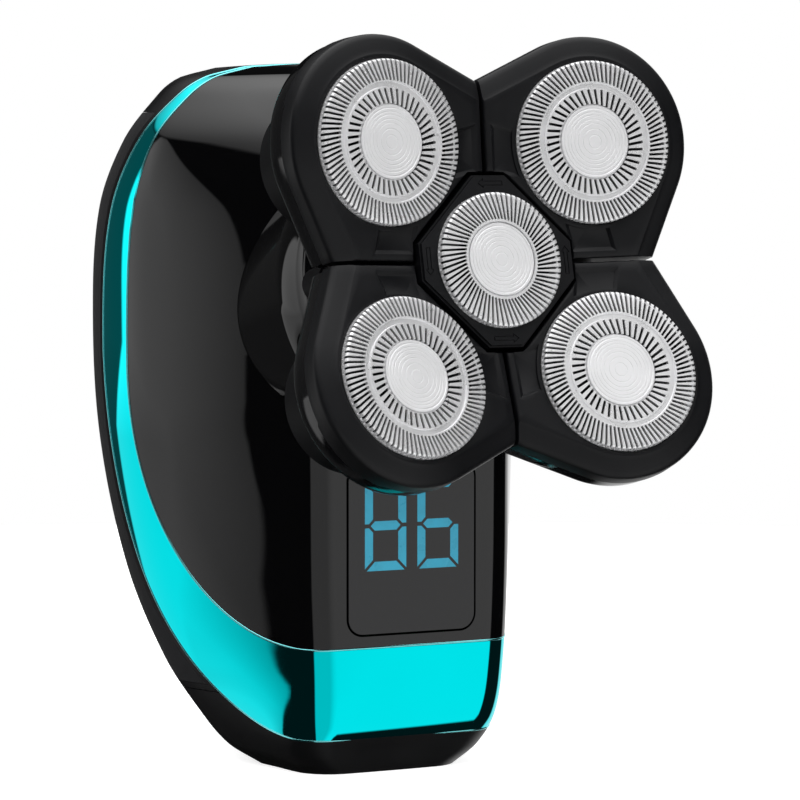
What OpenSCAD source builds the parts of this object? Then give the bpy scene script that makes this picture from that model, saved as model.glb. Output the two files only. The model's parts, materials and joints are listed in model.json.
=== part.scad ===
// Five-head rotary shaver: a hollow grip with motor, cell and display, and a pull-off
// head whose four outer pods float on hinge pins and are driven from one sun gear.
// Frame: +Z up, the front faces -Y, origin on the flat foot, in the grip's middle plane.

/* [Body] */
// Height of the grip from the flat foot to the crown
body_h = 107.4; // [102:0.2:114]
// Width of the grip's guide outline, which the rounded flanks just miss
body_w = 69; // [67:0.5:74]
// Depth of the grip from the front face to the back
body_d = 56.5; // [55:0.5:64]
// Wall of the grip's shells
wall = 2; // [1.6:0.1:2.4]
// Radius of the grip's upright front corners
front_corner_r = 6; // [4:0.5:7]
// Exponent of the rear outline, where 2 is an ellipse and more is squarer
rear_exponent = 2.9; // [2.4:0.1:3.6]
// Distance from the front face back to the origin on the foot
foot_setback = 18.5; // [16:0.5:21]
// Running line between shells that meet
shell_gap = 0.1; // [0.05:0.05:0.2]

/* [Trim band and grip pad] */
// Height of the trim band's upper edge at the front
trim_top = 19.9; // [18:0.1:20.4]
// Height of the trim band's lower edge at the front
trim_foot = 6; // [5:0.1:8]
// Setback of the band's front edge on the flank
trim_front_set = 29.7; // [28:0.1:31]
// Setback of the band's rear edge on the flank
trim_rear_set = 36.6; // [35:0.1:39]
// Height at which the foot cap meets the rear shell
foot_split = 12; // [10:0.5:14]
// Thickness of the soft grip pad
pad_t = 1; // [0.8:0.1:1.2]
// Width of the frame line left between the band and the pad
pad_frame = 1; // [0.6:0.1:1.6]

/* [Front panel] */
// Width of the press panel
panel_w = 21.6; // [20:0.2:23]
// Height of the press panel's lower edge
panel_z = 22; // [21.6:0.1:23]
// Height of the press panel
panel_h = 25.5; // [24.5:0.5:25.5]
// Thickness of the press panel
panel_t = 1.6; // [1.2:0.1:2]
// Radius of the panel's corners
panel_r = 2.4; // [1.5:0.1:3.5]
// Gap between the panel and its opening
panel_gap = 0.35; // [0.2:0.05:0.5]
// Travel of the press panel
panel_travel = 0.5; // [0.3:0.1:0.6]
// Height of a digit
digit_h = 13.6; // [11:0.2:14]
// Width of a digit
digit_w = 7.1; // [6:0.1:7.4]
// Width of a segment
segment_w = 1.4; // [1:0.1:1.6]

/* [Head] */
// Setback of the grip's front face behind the centre cap
head_reach = 27; // [26.5:0.5:30]
// Height of the centre cap's middle
head_z = 79; // [78:0.5:81]
// Upward tilt of the head's axis
head_tilt = 12.7; // [11:0.1:14]
// Distance of an outer cap's middle from the head's axis
pod_ring = 24; // [23.8:0.1:24.4]
// Height of the outer caps' middles above the centre cap
pod_rise = 1.6; // [1.4:0.1:1.8]
// Inward lean of the outer caps
pod_lean = 10.1; // [9.5:0.1:10.5]
// Radius of an outer pod's lobe
pod_r = 15.8; // [15.4:0.1:16.2]
// Reach of the pods along their seams
pod_notch = 26.6; // [26:0.1:27.2]
// Seam between two pods
seam = 0.6; // [0.5:0.1:0.8]
// Depth of a pod's matt frame below its cap
frame_depth = 5.2; // [5:0.1:5.6]
// Depth of a pod's cup below its cap
cup_depth = 10; // [9.8:0.1:10.3]
// Half width across the flats of the centre frame, over the seams
octagon_a = 13; // [12.8:0.1:13.3]
// Half length of the centre frame's short sides
octagon_b = 2.9; // [2.6:0.1:3.4]

/* [Caps and cutters] */
// Radius of an outer cap
cap_r = 12; // [11.8:0.05:12.2]
// Radius of the centre cap
centre_cap_r = 9.95; // [9.8:0.05:10]
// Thickness of a cap's sheet
cap_t = 0.35; // [0.3:0.05:0.4]
// Height that a cap stands above its frame
cap_proud = 1.2; // [1:0.1:1.4]
// Radius of the bright disc in a cap
disc_r = 5.5; // [5.3:0.1:5.6]
// Slots in an outer cap's outer ring
outer_slots = 90; // [60:2:100]
// Slots in an outer cap's inner ring
inner_slots = 45; // [30:1:50]
// Slots in the centre cap
centre_slots = 70; // [40:2:80]
// Width of a slot
slot_w = 0.34; // [0.3:0.02:0.36]
// Sweep of the slots from radial
slot_sweep = 12; // [0:1:16]

/* [Drive] */
// Module of the gears
gear_m = 1; // [1:0.05:1]
// Teeth of the sun gear
sun_teeth = 34; // [34:1:34]
// Teeth of a pod gear
pod_teeth = 16; // [16:1:16]
// Face width of the gears
gear_t = 2.6; // [2:0.1:3]
// Radius of the motor can
motor_r = 12; // [10:0.5:13]
// Length of the motor can
motor_l = 26; // [20:1:28]
// Radius of the motor shaft
shaft_r = 1; // [0.8:0.1:1.2]
// Radial clearance of a running fit
fit = 0.05; // [0.03:0.01:0.08]

/* [Power] */
// Radius of the cell
cell_r = 7; // [6.5:0.25:7.5]
// Length of the cell
cell_l = 43; // [36:1:43]

/* [Hidden] */
eps = 0.01;

// Places of the grip's parts along Y
front_y = -foot_setback;
head_y = front_y - head_reach;
back_y = front_y + body_d;

// The grip's loft. Each station holds its height as a share of body_h, then the half width as a
// share of body_w, the setback of the front, the half width of the front's flat, and the setbacks
// of the widest line and of the back as shares of body_d
STATIONS = [
  [0.000, 0.205, 6.5, 11.0, 0.372, 0.490],
  [0.028, 0.270, 4.5, 14.0, 0.398, 0.545],
  [0.074, 0.324, 1.5, 15.5, 0.425, 0.605],
  [0.150, 0.386, 0.2, 16.2, 0.460, 0.722],
  [0.280, 0.447, 0.0, 16.8, 0.496, 0.868],
  [0.465, 0.490, 0.0, 17.0, 0.522, 0.973],
  [0.650, 0.500, 0.0, 17.5, 0.531, 1.000],
  [0.800, 0.485, 1.5, 17.0, 0.540, 0.973],
  [0.894, 0.435, 5.0, 15.5, 0.540, 0.912],
  [0.950, 0.372, 9.5, 13.0, 0.549, 0.850],
  [0.985, 0.309, 14.0, 10.0, 0.558, 0.805],
  [1.000, 0.221, 19.0, 7.5, 0.566, 0.752]
];
OUTER_LEVELS = [
  0, 0.012, 0.028, 0.05, 0.074, 0.11, 0.15, 0.21, 0.28, 0.37, 0.465, 0.56, 0.65,
  0.73, 0.8, 0.85, 0.894, 0.925, 0.95, 0.97, 0.985, 0.995, 1
];
INNER_LEVELS = [0, 0.028, 0.074, 0.15, 0.28, 0.465, 0.65, 0.8, 0.894, 0.95, 0.985, 1];
rear_steps = 20;
corner_steps = 4;
flank_steps = 4;
rear_start = 8;

// Trim band: the curves of its two edges in the side view, as setback and height
band_rise = 42;
band_crown = 98;

// Neck, as depths behind the centre cap along the head's axis
neck_top = 18.9;
neck_r = 22.3;
neck_root_r = 24;
neck_root = 42;
neck_root_from = 25.3;
spigot_r = 13.9;
spigot_fit = 0.3;

// Head, as depths behind the centre cap along the head's axis
cover_top = 13.2;
cover_t = 1;
case_bottom = 18.6;
gear_top = 14.6;
drive_r = gear_m * (sun_teeth + pod_teeth) / 2;
sun_r = gear_m * sun_teeth / 2;
pod_gear_r = gear_m * pod_teeth / 2;
gear_room = 0.35;
case_wall = 1;
pin_x = -9;
pin_depth = 11.6;
pin_r = 0.75;
spindle_r = 1.2;
ball_r = 1.4;
ball_depth = 4.5;
hub_r = 3.2;
hex_r = 2.1;
skirt = 3.2;
PODS = [["ur", 45], ["ul", 135], ["ll", 225], ["lr", 315]];

// ---------------------------------------------------------------- grip: loft and regions

function station_index(f, i = 0) =
  (i >= len(STATIONS) - 2 || f <= STATIONS[i + 1][0]) ? i : station_index(f, i + 1);

function slope(i, c) =
  let (a = max(i - 1, 0), b = min(i + 1, len(STATIONS) - 1))
  (STATIONS[b][c] - STATIONS[a][c]) / (STATIONS[b][0] - STATIONS[a][0]);

// Smooth value of column c at the share f of the height
function along(f, c) =
  let (
    i = station_index(f),
    h = STATIONS[i + 1][0] - STATIONS[i][0],
    t = (f - STATIONS[i][0]) / h
  )
  (2 * pow(t, 3) - 3 * pow(t, 2) + 1) * STATIONS[i][c]
  + (pow(t, 3) - 2 * pow(t, 2) + t) * h * slope(i, c)
  + (3 * pow(t, 2) - 2 * pow(t, 3)) * STATIONS[i + 1][c]
  + (pow(t, 3) - pow(t, 2)) * h * slope(i + 1, c);

function signed_pow(v, p) = sign(v) * pow(abs(v), p);

function quadratic(p, t) = pow(1 - t, 2) * p[0] + 2 * t * (1 - t) * p[1] + pow(t, 2) * p[2];

// Outline of the grip at the share f of its height, drawn in by inset. A coarse outline has half
// the steps
function outline(f, inset, coarse) =
  let (
    w = along(f, 1) * body_w - inset,
    front = along(f, 2) + inset,
    flat = along(f, 3) - 0.6 * inset,
    mid = along(f, 4) * body_d,
    rear = along(f, 5) * body_d - inset,
    r = min(front_corner_r, 0.6 * flat),
    e = 2 / rear_exponent,
    n = coarse ? 0.5 : 1,
    back = [for (i = [0:n * rear_steps]) let (a = rear_start + (180 - 2 * rear_start) * i / (n * rear_steps))
      [w * signed_pow(cos(a), e), mid + (rear - mid) * pow(sin(a), e)]],
    turn = [[w, mid] + 0.32 * [flat + 0.229 * r - w, front + 0.441 * r - mid], [w, mid], back[0]],
    flank = [for (i = [0:n * flank_steps - 1]) quadratic(turn, i / (n * flank_steps))],
    corner = [for (i = [0:n * corner_steps]) let (a = 270 + 56 * i / (n * corner_steps))
      [flat - 0.6 * r + r * cos(a), front + r + r * sin(a)]],
    right = concat(corner, flank)
  )
  [for (p = concat(right, back, [for (i = [len(right) - 1:-1:0]) [-right[i][0], right[i][1]]])) p + [0, front_y]];

module level(f, inset, coarse) {
  z = inset + f * (body_h - 2 * inset);
  translate([0, 0, min(z, body_h - inset - eps)])
    linear_extrude(eps) polygon(outline(f, inset, coarse));
}

// The grip's form as a ruled loft through its levels
module grip_form(levels, inset = 0) {
  coarse = len(levels) < len(OUTER_LEVELS);
  for (i = [0:len(levels) - 2])
    hull() {
      level(levels[i], inset, coarse);
      level(levels[i + 1], inset, coarse);
    }
}

module grip_wall() {
  difference() {
    grip_form(OUTER_LEVELS);
    grip_form(INNER_LEVELS, wall);
  }
}

function bezier(p, n) =
  [for (i = [0:n]) let (t = i / n)
    pow(1 - t, 3) * p[0] + 3 * pow(1 - t, 2) * t * p[1] + 3 * (1 - t) * pow(t, 2) * p[2] + pow(t, 3) * p[3]];

// Edge between the glossy shell and the trim band, from the front up to the crown
function front_edge(shift) =
  [for (p = concat(
    [[-30, trim_top]],
    bezier([[0, trim_top], [0.6 * trim_front_set, trim_top], [trim_front_set, trim_top + 0.43 * band_rise],
      [trim_front_set, trim_top + band_rise]], 12),
    bezier([[trim_front_set, band_crown - 6], [trim_front_set, band_crown],
      [trim_front_set - 1, band_crown + 5], [trim_front_set - 2.5, body_h + 2]], 5)))
    [front_y + p[0] + shift, p[1]]];

// Edge between the trim band and the rear shell, from the front up to the crown
function rear_edge(shift) =
  [for (p = concat(
    [[-30, trim_foot]],
    bezier([[0, trim_foot], [0.72 * trim_rear_set, trim_foot - 2.5], [trim_rear_set - 1.6, trim_foot + 28],
      [trim_rear_set, trim_foot + 58]], 12),
    bezier([[trim_rear_set, trim_foot + 60], [trim_rear_set, band_crown - 13],
      [trim_rear_set - 2, band_crown - 1], [trim_rear_set - 8.2, body_h + 2]], 8)))
    [front_y + p[0] + shift, p[1]]];

// Everything that lies on one side of a side-view curve, as a prism across the grip
module side_prism(points) {
  rotate([90, 0, 90]) linear_extrude(2 * body_w, center = true) polygon(points);
}

module ahead_of(edge) {
  side_prism(concat(edge, [[front_y - 30, body_h + 2]]));
}

module behind(edge) {
  side_prism(concat(edge, [[back_y + 30, body_h + 2], [back_y + 30, -5], [front_y - 30, -5]]));
}

module in_head() {
  translate([0, head_y, head_z]) rotate([90 - head_tilt, 0, 0]) children();
}

// ---------------------------------------------------------------- grip: shells

screw_low = [20, 36];
screw_high = [14, 98];
screw_y = 7;
screw_boss_r = 3;
screw_r = 1.1;
screw_head_r = 2.1;
screw_l = 12;

module at_screws() {
  for (s = [-1, 1], p = [screw_low, screw_high]) translate([s * p[0], screw_y, p[1]]) rotate([-90, 0, 0]) children();
}

// Glossy dome that carries the head, a revolve about the head's axis that runs into the grip
module neck_collar() {
  color([0.02, 0.02, 0.025]) in_head() difference() {
    rotate_extrude($fn = 96) polygon([
      [spigot_r + 3, -neck_top],
      [neck_r - 1.2, -neck_top],
      [neck_r - 0.35, -neck_top - 0.35],
      [neck_r, -neck_top - 1.2],
      [neck_r + 0.5, -neck_top - 2.6],
      [neck_root_r - 0.5, -neck_root_from + 1.2],
      [neck_root_r - 0.12, -neck_root_from + 0.2],
      [neck_root_r, -neck_root_from - 1],
      [neck_root_r, -neck_root],
      [neck_root_r - wall, -neck_root],
      [neck_root_r - wall, -neck_root_from],
      [neck_r - wall, -neck_top - wall],
      [spigot_r + 3, -neck_top - wall]
    ]);
  }
}

module panel_opening(grow) {
  hull()
    for (s = [-1, 1], z = [panel_z + panel_r, panel_z + panel_h - panel_r])
      translate([s * (panel_w / 2 - panel_r), front_y - 1, z])
        rotate([-90, 0, 0]) cylinder(r = panel_r + grow, h = wall + 4, $fn = 32);
}

module front_shell() {
  color([0.02, 0.02, 0.025]) difference() {
    union() {
      intersection() {
        grip_wall();
        ahead_of(front_edge(-shell_gap));
      }
      intersection() {
        at_screws() translate([0, 0, -30]) cylinder(r = screw_boss_r, h = 30, $fn = 16);
        grip_form(INNER_LEVELS, wall / 2);
      }
    }
    in_head() translate([0, 0, -neck_root - 2]) cylinder(r = neck_root_r + fit, h = neck_root, $fn = 72);
    panel_opening(panel_gap);
    at_screws() translate([0, 0, -screw_l + 3]) cylinder(r = screw_r + fit, h = screw_l, $fn = 12);
  }
}

module trim_band() {
  color([0.0, 0.75, 0.8]) intersection() {
    grip_wall();
    behind(front_edge(0));
    ahead_of(rear_edge(-shell_gap));
  }
}

module pad_region(shift) {
  intersection() {
    behind(rear_edge(pad_frame + shift));
    translate([-body_w, front_y - 30, foot_split + pad_frame + shift]) cube([2 * body_w, 3 * body_d, body_h - foot_split - 8 - 2 * shift]);
  }
}

module rear_shell() {
  color([0.04, 0.04, 0.045]) difference() {
    union() {
      intersection() {
        grip_wall();
        behind(rear_edge(0));
        translate([-body_w, -2 * body_d, foot_split]) cube([2 * body_w, 4 * body_d, body_h]);
      }
      intersection() {
        at_screws() translate([0, 0, shell_gap]) cylinder(r = screw_boss_r, h = 40, $fn = 24);
        grip_form(INNER_LEVELS, wall / 2);
      }
    }
    difference() {
      pad_region(-shell_gap);
      grip_form(INNER_LEVELS, pad_t);
    }
    at_screws() translate([0, 0, -1]) cylinder(r = screw_r + fit, h = 10, $fn = 24);
    at_screws() translate([0, 0, 3]) cylinder(r = screw_head_r + fit, h = 40, $fn = 24);
  }
}

module grip_pad() {
  color([0.06, 0.06, 0.065]) difference() {
    intersection() {
      grip_form(OUTER_LEVELS);
      pad_region(0);
    }
    grip_form(INNER_LEVELS, pad_t);
  }
}

socket_w = 9;
socket_t = 3.3;
socket_y = -6.9;

module base_cap() {
  color([0.05, 0.05, 0.055]) difference() {
    intersection() {
      grip_wall();
      behind(rear_edge(0));
      translate([-body_w, -2 * body_d, -1]) cube([2 * body_w, 4 * body_d, foot_split + 1 - shell_gap]);
    }
    translate([0, socket_y, -1]) hull()
      for (s = [-1, 1]) translate([s * (socket_w - socket_t) / 2, 0, 0]) cylinder(r = socket_t / 2, h = wall + 2, $fn = 24);
  }
}

module case_screws() {
  color("silver") at_screws() {
    translate([0, 0, -screw_l + 3.2]) cylinder(r = screw_r, h = screw_l, $fn = 24);
    difference() {
      translate([0, 0, 3.1]) cylinder(r = screw_head_r, h = 1.6, $fn = 32);
      translate([0, 0, 4]) cylinder(r = 1, h = 2, $fn = 6);
    }
  }
}

// ---------------------------------------------------------------- grip: neck ring and front panel

neck_ring_l = 9.6;

module neck_ring() {
  color([0.03, 0.03, 0.035]) in_head() difference() {
    rotate_extrude($fn = 96) polygon([
      [spigot_r + spigot_fit, -neck_top - neck_ring_l],
      [spigot_r + 5.6, -neck_top - neck_ring_l],
      [spigot_r + 5.6, -neck_top - wall - 0.1],
      [spigot_r + 2.9, -neck_top - wall - 0.1],
      [spigot_r + 2.9, -neck_top - 0.6],
      [spigot_r + 2.5, -neck_top - 0.2],
      [spigot_r + spigot_fit + 0.6, -neck_top - 0.2],
      [spigot_r + spigot_fit, -neck_top - 0.8]
    ]);
    for (a = [0:120:240]) rotate([0, 0, a]) translate([0, 0, -neck_top - 4.5]) rotate([0, 90, 0])
      cylinder(r = 0.8, h = spigot_r + 1.2, $fn = 24);
  }
}

digit_gap = 1.9;
digit_z = 31.5;
digit_sink = 0.3;

segment_gap = 0.3;

module end_bar() {
  w = segment_w;
  g = segment_gap;
  polygon([[g, 0], [digit_w - g, 0], [digit_w - w - g, w], [w + g, w]]);
}

module middle_bar() {
  w = segment_w;
  g = segment_gap;
  m = digit_h / 2;
  polygon([[w / 2 + g, m], [w + g, m + w / 2], [digit_w - w - g, m + w / 2],
    [digit_w - w / 2 - g, m], [digit_w - w - g, m - w / 2], [w + g, m - w / 2]]);
}

module upright() {
  w = segment_w;
  g = segment_gap;
  m = digit_h / 2;
  polygon([[0, g], [0, m - g], [w / 2, m - g], [w, m - w / 2 - g], [w, w + g]]);
}

// Seven-segment digit with its lower left corner at the origin. Segments 0 to 2 lie flat from the
// bottom up, and 3 to 6 stand at the lower right, lower left, upper right and upper left
module digit(lit) {
  for (i = lit) {
    if (i == 0) end_bar();
    if (i == 1) middle_bar();
    if (i == 2) translate([0, digit_h]) mirror([0, 1]) end_bar();
    if (i == 3) translate([digit_w, 0]) mirror([1, 0]) upright();
    if (i == 4) upright();
    if (i == 5) translate([digit_w, digit_h]) rotate(180) upright();
    if (i == 6) translate([0, digit_h]) mirror([0, 1]) upright();
  }
}

module digits(depth) {
  translate([0, front_y + depth, 0]) rotate([90, 0, 0]) linear_extrude(depth + eps)
    for (s = [0, 1])
      translate([-digit_w - digit_gap / 2 + s * (digit_w + digit_gap), digit_z])
        digit(s == 0 ? [0, 1, 2, 3, 4, 5, 6] : [0, 1, 2, 3, 4, 6]);
}

rib_r = 1.5;
switch_z = 27;
switch_top_y = front_y + 5;

module power_panel() {
  color([0.05, 0.05, 0.06]) difference() {
    union() {
      difference() {
        panel_opening(0);
        translate([-panel_w, front_y + panel_t, 0]) cube([2 * panel_w, 20, 2 * body_h]);
        translate([-panel_w, front_y - 20, 0]) cube([2 * panel_w, 20, 2 * body_h]);
      }
      translate([0, front_y + panel_t - eps, switch_z]) rotate([-90, 0, 0])
        cylinder(r = rib_r, h = switch_top_y - front_y - panel_t - panel_travel - 0.1, $fn = 32);
    }
    digits(digit_sink);
  }
}

module display_digits() {
  color([0.2, 0.62, 0.75]) difference() {
    digits(digit_sink);
    translate([-panel_w, front_y - 1, 0]) cube([2 * panel_w, 1 + 0.02, 2 * body_h]);
  }
}

board_y = -8.2;
board_t = 1.4;
board_w = 23;
board_z = 9.4;
board_top = 45.5;
module_gap = 0.2;

module display_module() {
  y0 = front_y + panel_t + panel_travel + module_gap;
  color([0.85, 0.85, 0.82]) difference() {
    translate([-9.5, y0, 30.4]) cube([19, board_y - y0, 15.2]);
    for (s = [-1, 1]) translate([s * 4.5 - 3, y0 - 1, 32]) cube([6, 4, 12.6]);
  }
}

module power_switch() {
  color([0.12, 0.12, 0.13]) translate([-3, switch_top_y, switch_z - 3]) cube([6, board_y - switch_top_y, 6]);
}

module circuit_board() {
  color([0.05, 0.3, 0.15]) {
    translate([-board_w / 2, board_y, board_z]) cube([board_w, board_t, board_top - board_z]);
    for (z = [14, 18, 22]) translate([-6, board_y + board_t - eps, z]) cube([4, 1 + eps, 2.4]);
  }
}

module charging_socket() {
  color("silver") difference() {
    translate([0, socket_y, wall]) hull()
      for (s = [-1, 1]) translate([s * (socket_w - socket_t) / 2, 0, 0]) cylinder(r = socket_t / 2, h = board_z - wall, $fn = 24);
    translate([0, socket_y, wall - 1]) hull()
      for (s = [-1, 1]) translate([s * (socket_w - socket_t) / 2, 0, 0]) cylinder(r = socket_t / 2 - 0.3, h = 6, $fn = 24);
  }
}

// ---------------------------------------------------------------- grip: cell and motor

cell_y = 3.5;
holder_z = 7;
cell_floor = 1.4;
holder_t = 1.1;

module cell_holder() {
  color([0.1, 0.1, 0.1]) {
    translate([0, cell_y, holder_z]) difference() {
      cylinder(r = cell_r + fit + holder_t, h = 16, $fn = 64);
      translate([0, 0, cell_floor]) cylinder(r = cell_r + fit, h = 20, $fn = 64);
      translate([-20, -20 - cell_r + 1, cell_floor + 6]) cube([40, 20, 20]);
    }
    translate([0, 1, wall]) cylinder(r = 4, h = holder_z - wall + 0.5, $fn = 48);
  }
}

module cell() {
  color([0.1, 0.35, 0.6]) translate([0, cell_y, holder_z + cell_floor]) rotate_extrude($fn = 64) polygon([
    [0, 0], [cell_r - 0.6, 0], [cell_r, 0.6], [cell_r, cell_l - 2.4], [cell_r - 0.8, cell_l - 1.6],
    [2.75, cell_l - 1.6], [2.75, cell_l], [0, cell_l]
  ]);
}

mount_z = -neck_top - neck_ring_l;
mount_t = 1.6;
shaft_hole_r = 3.3;
coupler_top = 20;
coupler_l = 7;

module motor_mount() {
  color([0.75, 0.75, 0.78]) in_head() difference() {
    translate([0, 0, mount_z - mount_t]) cylinder(r = spigot_r + 5.6, h = mount_t, $fn = 64);
    translate([0, 0, mount_z - mount_t - 1]) cylinder(r = shaft_hole_r, h = mount_t + 2, $fn = 48);
    for (s = [-1, 1]) translate([s * 8, 0, mount_z - mount_t - 1]) cylinder(r = 1.1, h = mount_t + 2, $fn = 24);
    for (s = [-1, 1]) translate([0, s * (spigot_r + 5.6 + 3), mount_z]) cube([60, 12, 20], center = true);
  }
}

module motor() {
  color([0.7, 0.7, 0.72]) in_head() difference() {
    translate([0, 0, mount_z - mount_t]) rotate_extrude($fn = 96) polygon([
      [0, 0], [motor_r - 0.8, 0], [motor_r, -0.8], [motor_r, -motor_l + 1], [motor_r - 1, -motor_l],
      [4, -motor_l], [4, -motor_l - 1.6], [0, -motor_l - 1.6]
    ]);
    translate([0, 0, mount_z - mount_t - 8]) cylinder(r = shaft_r + fit, h = 10, $fn = 32);
    for (s = [-1, 1]) translate([s * 8, 0, mount_z - mount_t - 3]) cylinder(r = 0.9, h = 4, $fn = 24);
  }
}

module motor_shaft() {
  color("silver") in_head() translate([0, 0, mount_z - mount_t - 7])
    cylinder(r = shaft_r, h = -coupler_top - 2 - (mount_z - mount_t - 7), $fn = 32);
}

module drive_coupler() {
  color([0.9, 0.9, 0.88]) in_head() difference() {
    union() {
      translate([0, 0, -coupler_top - coupler_l]) cylinder(r = hex_r - 0.15, h = coupler_l, $fn = 6);
      translate([0, 0, -coupler_top - coupler_l - 2]) cylinder(r = 3, h = 3, $fn = 48);
    }
    translate([0, 0, -coupler_top - coupler_l - 3]) cylinder(r = shaft_r, h = coupler_l + 1, $fn = 32);
  }
}

// ---------------------------------------------------------------- head: gear case

module at_pod(a) {
  in_head() rotate([0, 0, a]) translate([pod_ring, 0, pod_rise]) rotate([0, -pod_lean, 0]) children();
}

module case_outline(grow) {
  circle(r = sun_r + gear_m + gear_room + grow, $fn = 96);
  for (p = PODS) rotate(p[1]) translate([drive_r, 0]) circle(r = pod_gear_r + gear_m + gear_room + grow, $fn = 72);
}

head_screw_ring = 20.6;

module at_head_screws() {
  for (a = [0:90:270]) rotate([0, 0, a]) translate([head_screw_ring, 0, 0]) children();
}

module case_plan(grow) {
  case_outline(grow);
  for (a = [0:90:270]) rotate(a) translate([head_screw_ring, 0]) circle(r = 1.6 + grow, $fn = 32);
}

module gear_case() {
  color([0.05, 0.05, 0.055]) in_head() difference() {
    union() {
      translate([0, 0, -case_bottom]) linear_extrude(case_bottom - cover_top - cover_t) case_plan(case_wall);
      translate([0, 0, -case_bottom - 5.4]) cylinder(r = spigot_r, h = 5.5, $fn = 96);
      for (a = [0:120:240]) rotate([0, 0, a]) translate([0, 0, -case_bottom - 4.2]) rotate([0, 90, 0])
        cylinder(r = 0.6, h = spigot_r + 0.2, $fn = 24);
    }
    translate([0, 0, -gear_top - gear_t - 0.2]) linear_extrude(gear_t + 2) case_outline(0);
    translate([0, 0, -case_bottom - 6]) cylinder(r = spigot_r - 2.4, h = 5.4, $fn = 96);
    translate([0, 0, -case_bottom - 7]) cylinder(r = hub_r + fit, h = 12, $fn = 64);
    for (p = PODS) rotate([0, 0, p[1]]) translate([drive_r, 0, -case_bottom + 0.3]) cylinder(r = 1 + fit, h = 4, $fn = 32);
    at_head_screws() translate([0, 0, -case_bottom + 0.8]) cylinder(r = 0.9 + fit, h = 6, $fn = 24);
  }
}

module gear_cover() {
  color([0.07, 0.07, 0.075]) difference() {
    union() {
      in_head() translate([0, 0, -cover_top - cover_t]) linear_extrude(cover_t) case_plan(case_wall);
      for (p = PODS) at_pod(p[1]) {
        translate([pin_x, 0, -pin_depth]) rotate([90, 0, 0]) cylinder(r = 1.2, h = 6, center = true, $fn = 32);
        translate([pin_x - 1.2, -3, -pin_depth - 2.3]) cube([2.4, 6, 2.3]);
      }
    }
    for (p = PODS) {
      at_pod(p[1]) translate([pin_x, 0, -pin_depth]) rotate([90, 0, 0]) cylinder(r = pin_r, h = 20, center = true, $fn = 32);
      in_head() rotate([0, 0, p[1]]) translate([drive_r, 0, -cover_top - 3]) cylinder(r = spindle_r + 0.8 + fit, h = 6, $fn = 48);
    }
    in_head() translate([0, 0, -cover_top - 3]) cylinder(r = hub_r - 0.8 + fit, h = 6, $fn = 48);
    in_head() at_head_screws() translate([0, 0, -cover_top - 3]) cylinder(r = 1, h = 6, $fn = 24);
  }
}

module head_screws() {
  color("silver") in_head() at_head_screws() {
    translate([0, 0, -case_bottom + 1.2]) cylinder(r = 0.9, h = case_bottom - cover_top - 1.1, $fn = 24);
    difference() {
      translate([0, 0, -cover_top]) cylinder(r = 1.6, h = 0.8, $fn = 32);
      translate([0, 0, -cover_top + 0.3]) cylinder(r = 0.8, h = 2, $fn = 6);
    }
  }
}

module pod_pins() {
  color("silver") for (p = PODS) at_pod(p[1])
    translate([pin_x, 0, -pin_depth]) rotate([90, 0, 0]) cylinder(r = pin_r, h = 10.4, center = true, $fn = 32);
}

// ---------------------------------------------------------------- head: gears

pressure = 20;
backlash = 0.2;

function involute(rb, a) = rb * [cos(a) + a * PI / 180 * sin(a), sin(a) - a * PI / 180 * cos(a)];
function unwind(rb, r) = r <= rb ? 0 : sqrt(pow(r / rb, 2) - 1) * 180 / PI;
function flank_angle(rb, r) = let (p = involute(rb, unwind(rb, r))) atan2(p[1], p[0]);

// One tooth of an involute gear, pointing along X
module tooth(n) {
  rp = gear_m * n / 2;
  rb = rp * cos(pressure);
  tip = rp + gear_m;
  root = rp - 1.2 * gear_m;
  half = 90 / n - backlash / rp * 90 / PI + flank_angle(rb, rp);
  radii = [root - 0.2, max(root, rb), (rb + 2 * rp) / 3, (rp + tip) / 2, tip];
  side = [for (r = radii) let (a = half - flank_angle(rb, r)) r * [cos(a), sin(a)]];
  polygon(concat(side, [for (i = [len(side) - 1:-1:0]) [side[i][0], -side[i][1]]]));
}

module spur(n) {
  circle(r = gear_m * (n / 2 - 1.2), $fn = 96);
  for (i = [0:n - 1]) rotate(i * 360 / n) tooth(n);
}

module sun_gear() {
  color([0.9, 0.88, 0.8]) in_head() difference() {
    union() {
      translate([0, 0, -gear_top - gear_t]) linear_extrude(gear_t) spur(sun_teeth);
      translate([0, 0, -case_bottom - 4]) cylinder(r = hub_r, h = case_bottom + 4 - gear_top, $fn = 64);
      translate([0, 0, -gear_top - eps]) cylinder(r = hub_r - 0.8, h = gear_top - 6.6, $fn = 48);
      translate([0, 0, -7]) cylinder(r = hex_r, h = 2.8, $fn = 6);
    }
    translate([0, 0, -case_bottom - 5]) cylinder(r = hex_r, h = 5, $fn = 6);
    for (a = [0:60:300]) rotate([0, 0, a]) translate([9.8, 0, -gear_top - gear_t - 1]) cylinder(r = 3.6, h = gear_t + 2, $fn = 32);
  }
}

// Turn that puts a gap of a pod gear on the sun's tooth at the angle a
function pod_phase(a) = a + 180 + (a * sun_teeth / 360 - 0.5) * 360 / pod_teeth;

module pod_gear(a) {
  color([0.92, 0.9, 0.84]) in_head() rotate([0, 0, a]) translate([drive_r, 0, 0]) {
    rotate([0, 0, pod_phase(a) - a]) translate([0, 0, -gear_top - gear_t]) linear_extrude(gear_t) spur(pod_teeth);
    translate([0, 0, -case_bottom + 0.4]) cylinder(r = 1, h = 2, $fn = 32);
    translate([0, 0, -gear_top - eps]) cylinder(r = spindle_r + 0.8, h = 2.4, $fn = 48);
    translate([0, 0, -gear_top]) cylinder(r = spindle_r, h = gear_top - ball_depth, $fn = 48);
    translate([0, 0, -ball_depth]) sphere(r = ball_r, $fn = 40);
  }
}

// ---------------------------------------------------------------- head: pods

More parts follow.
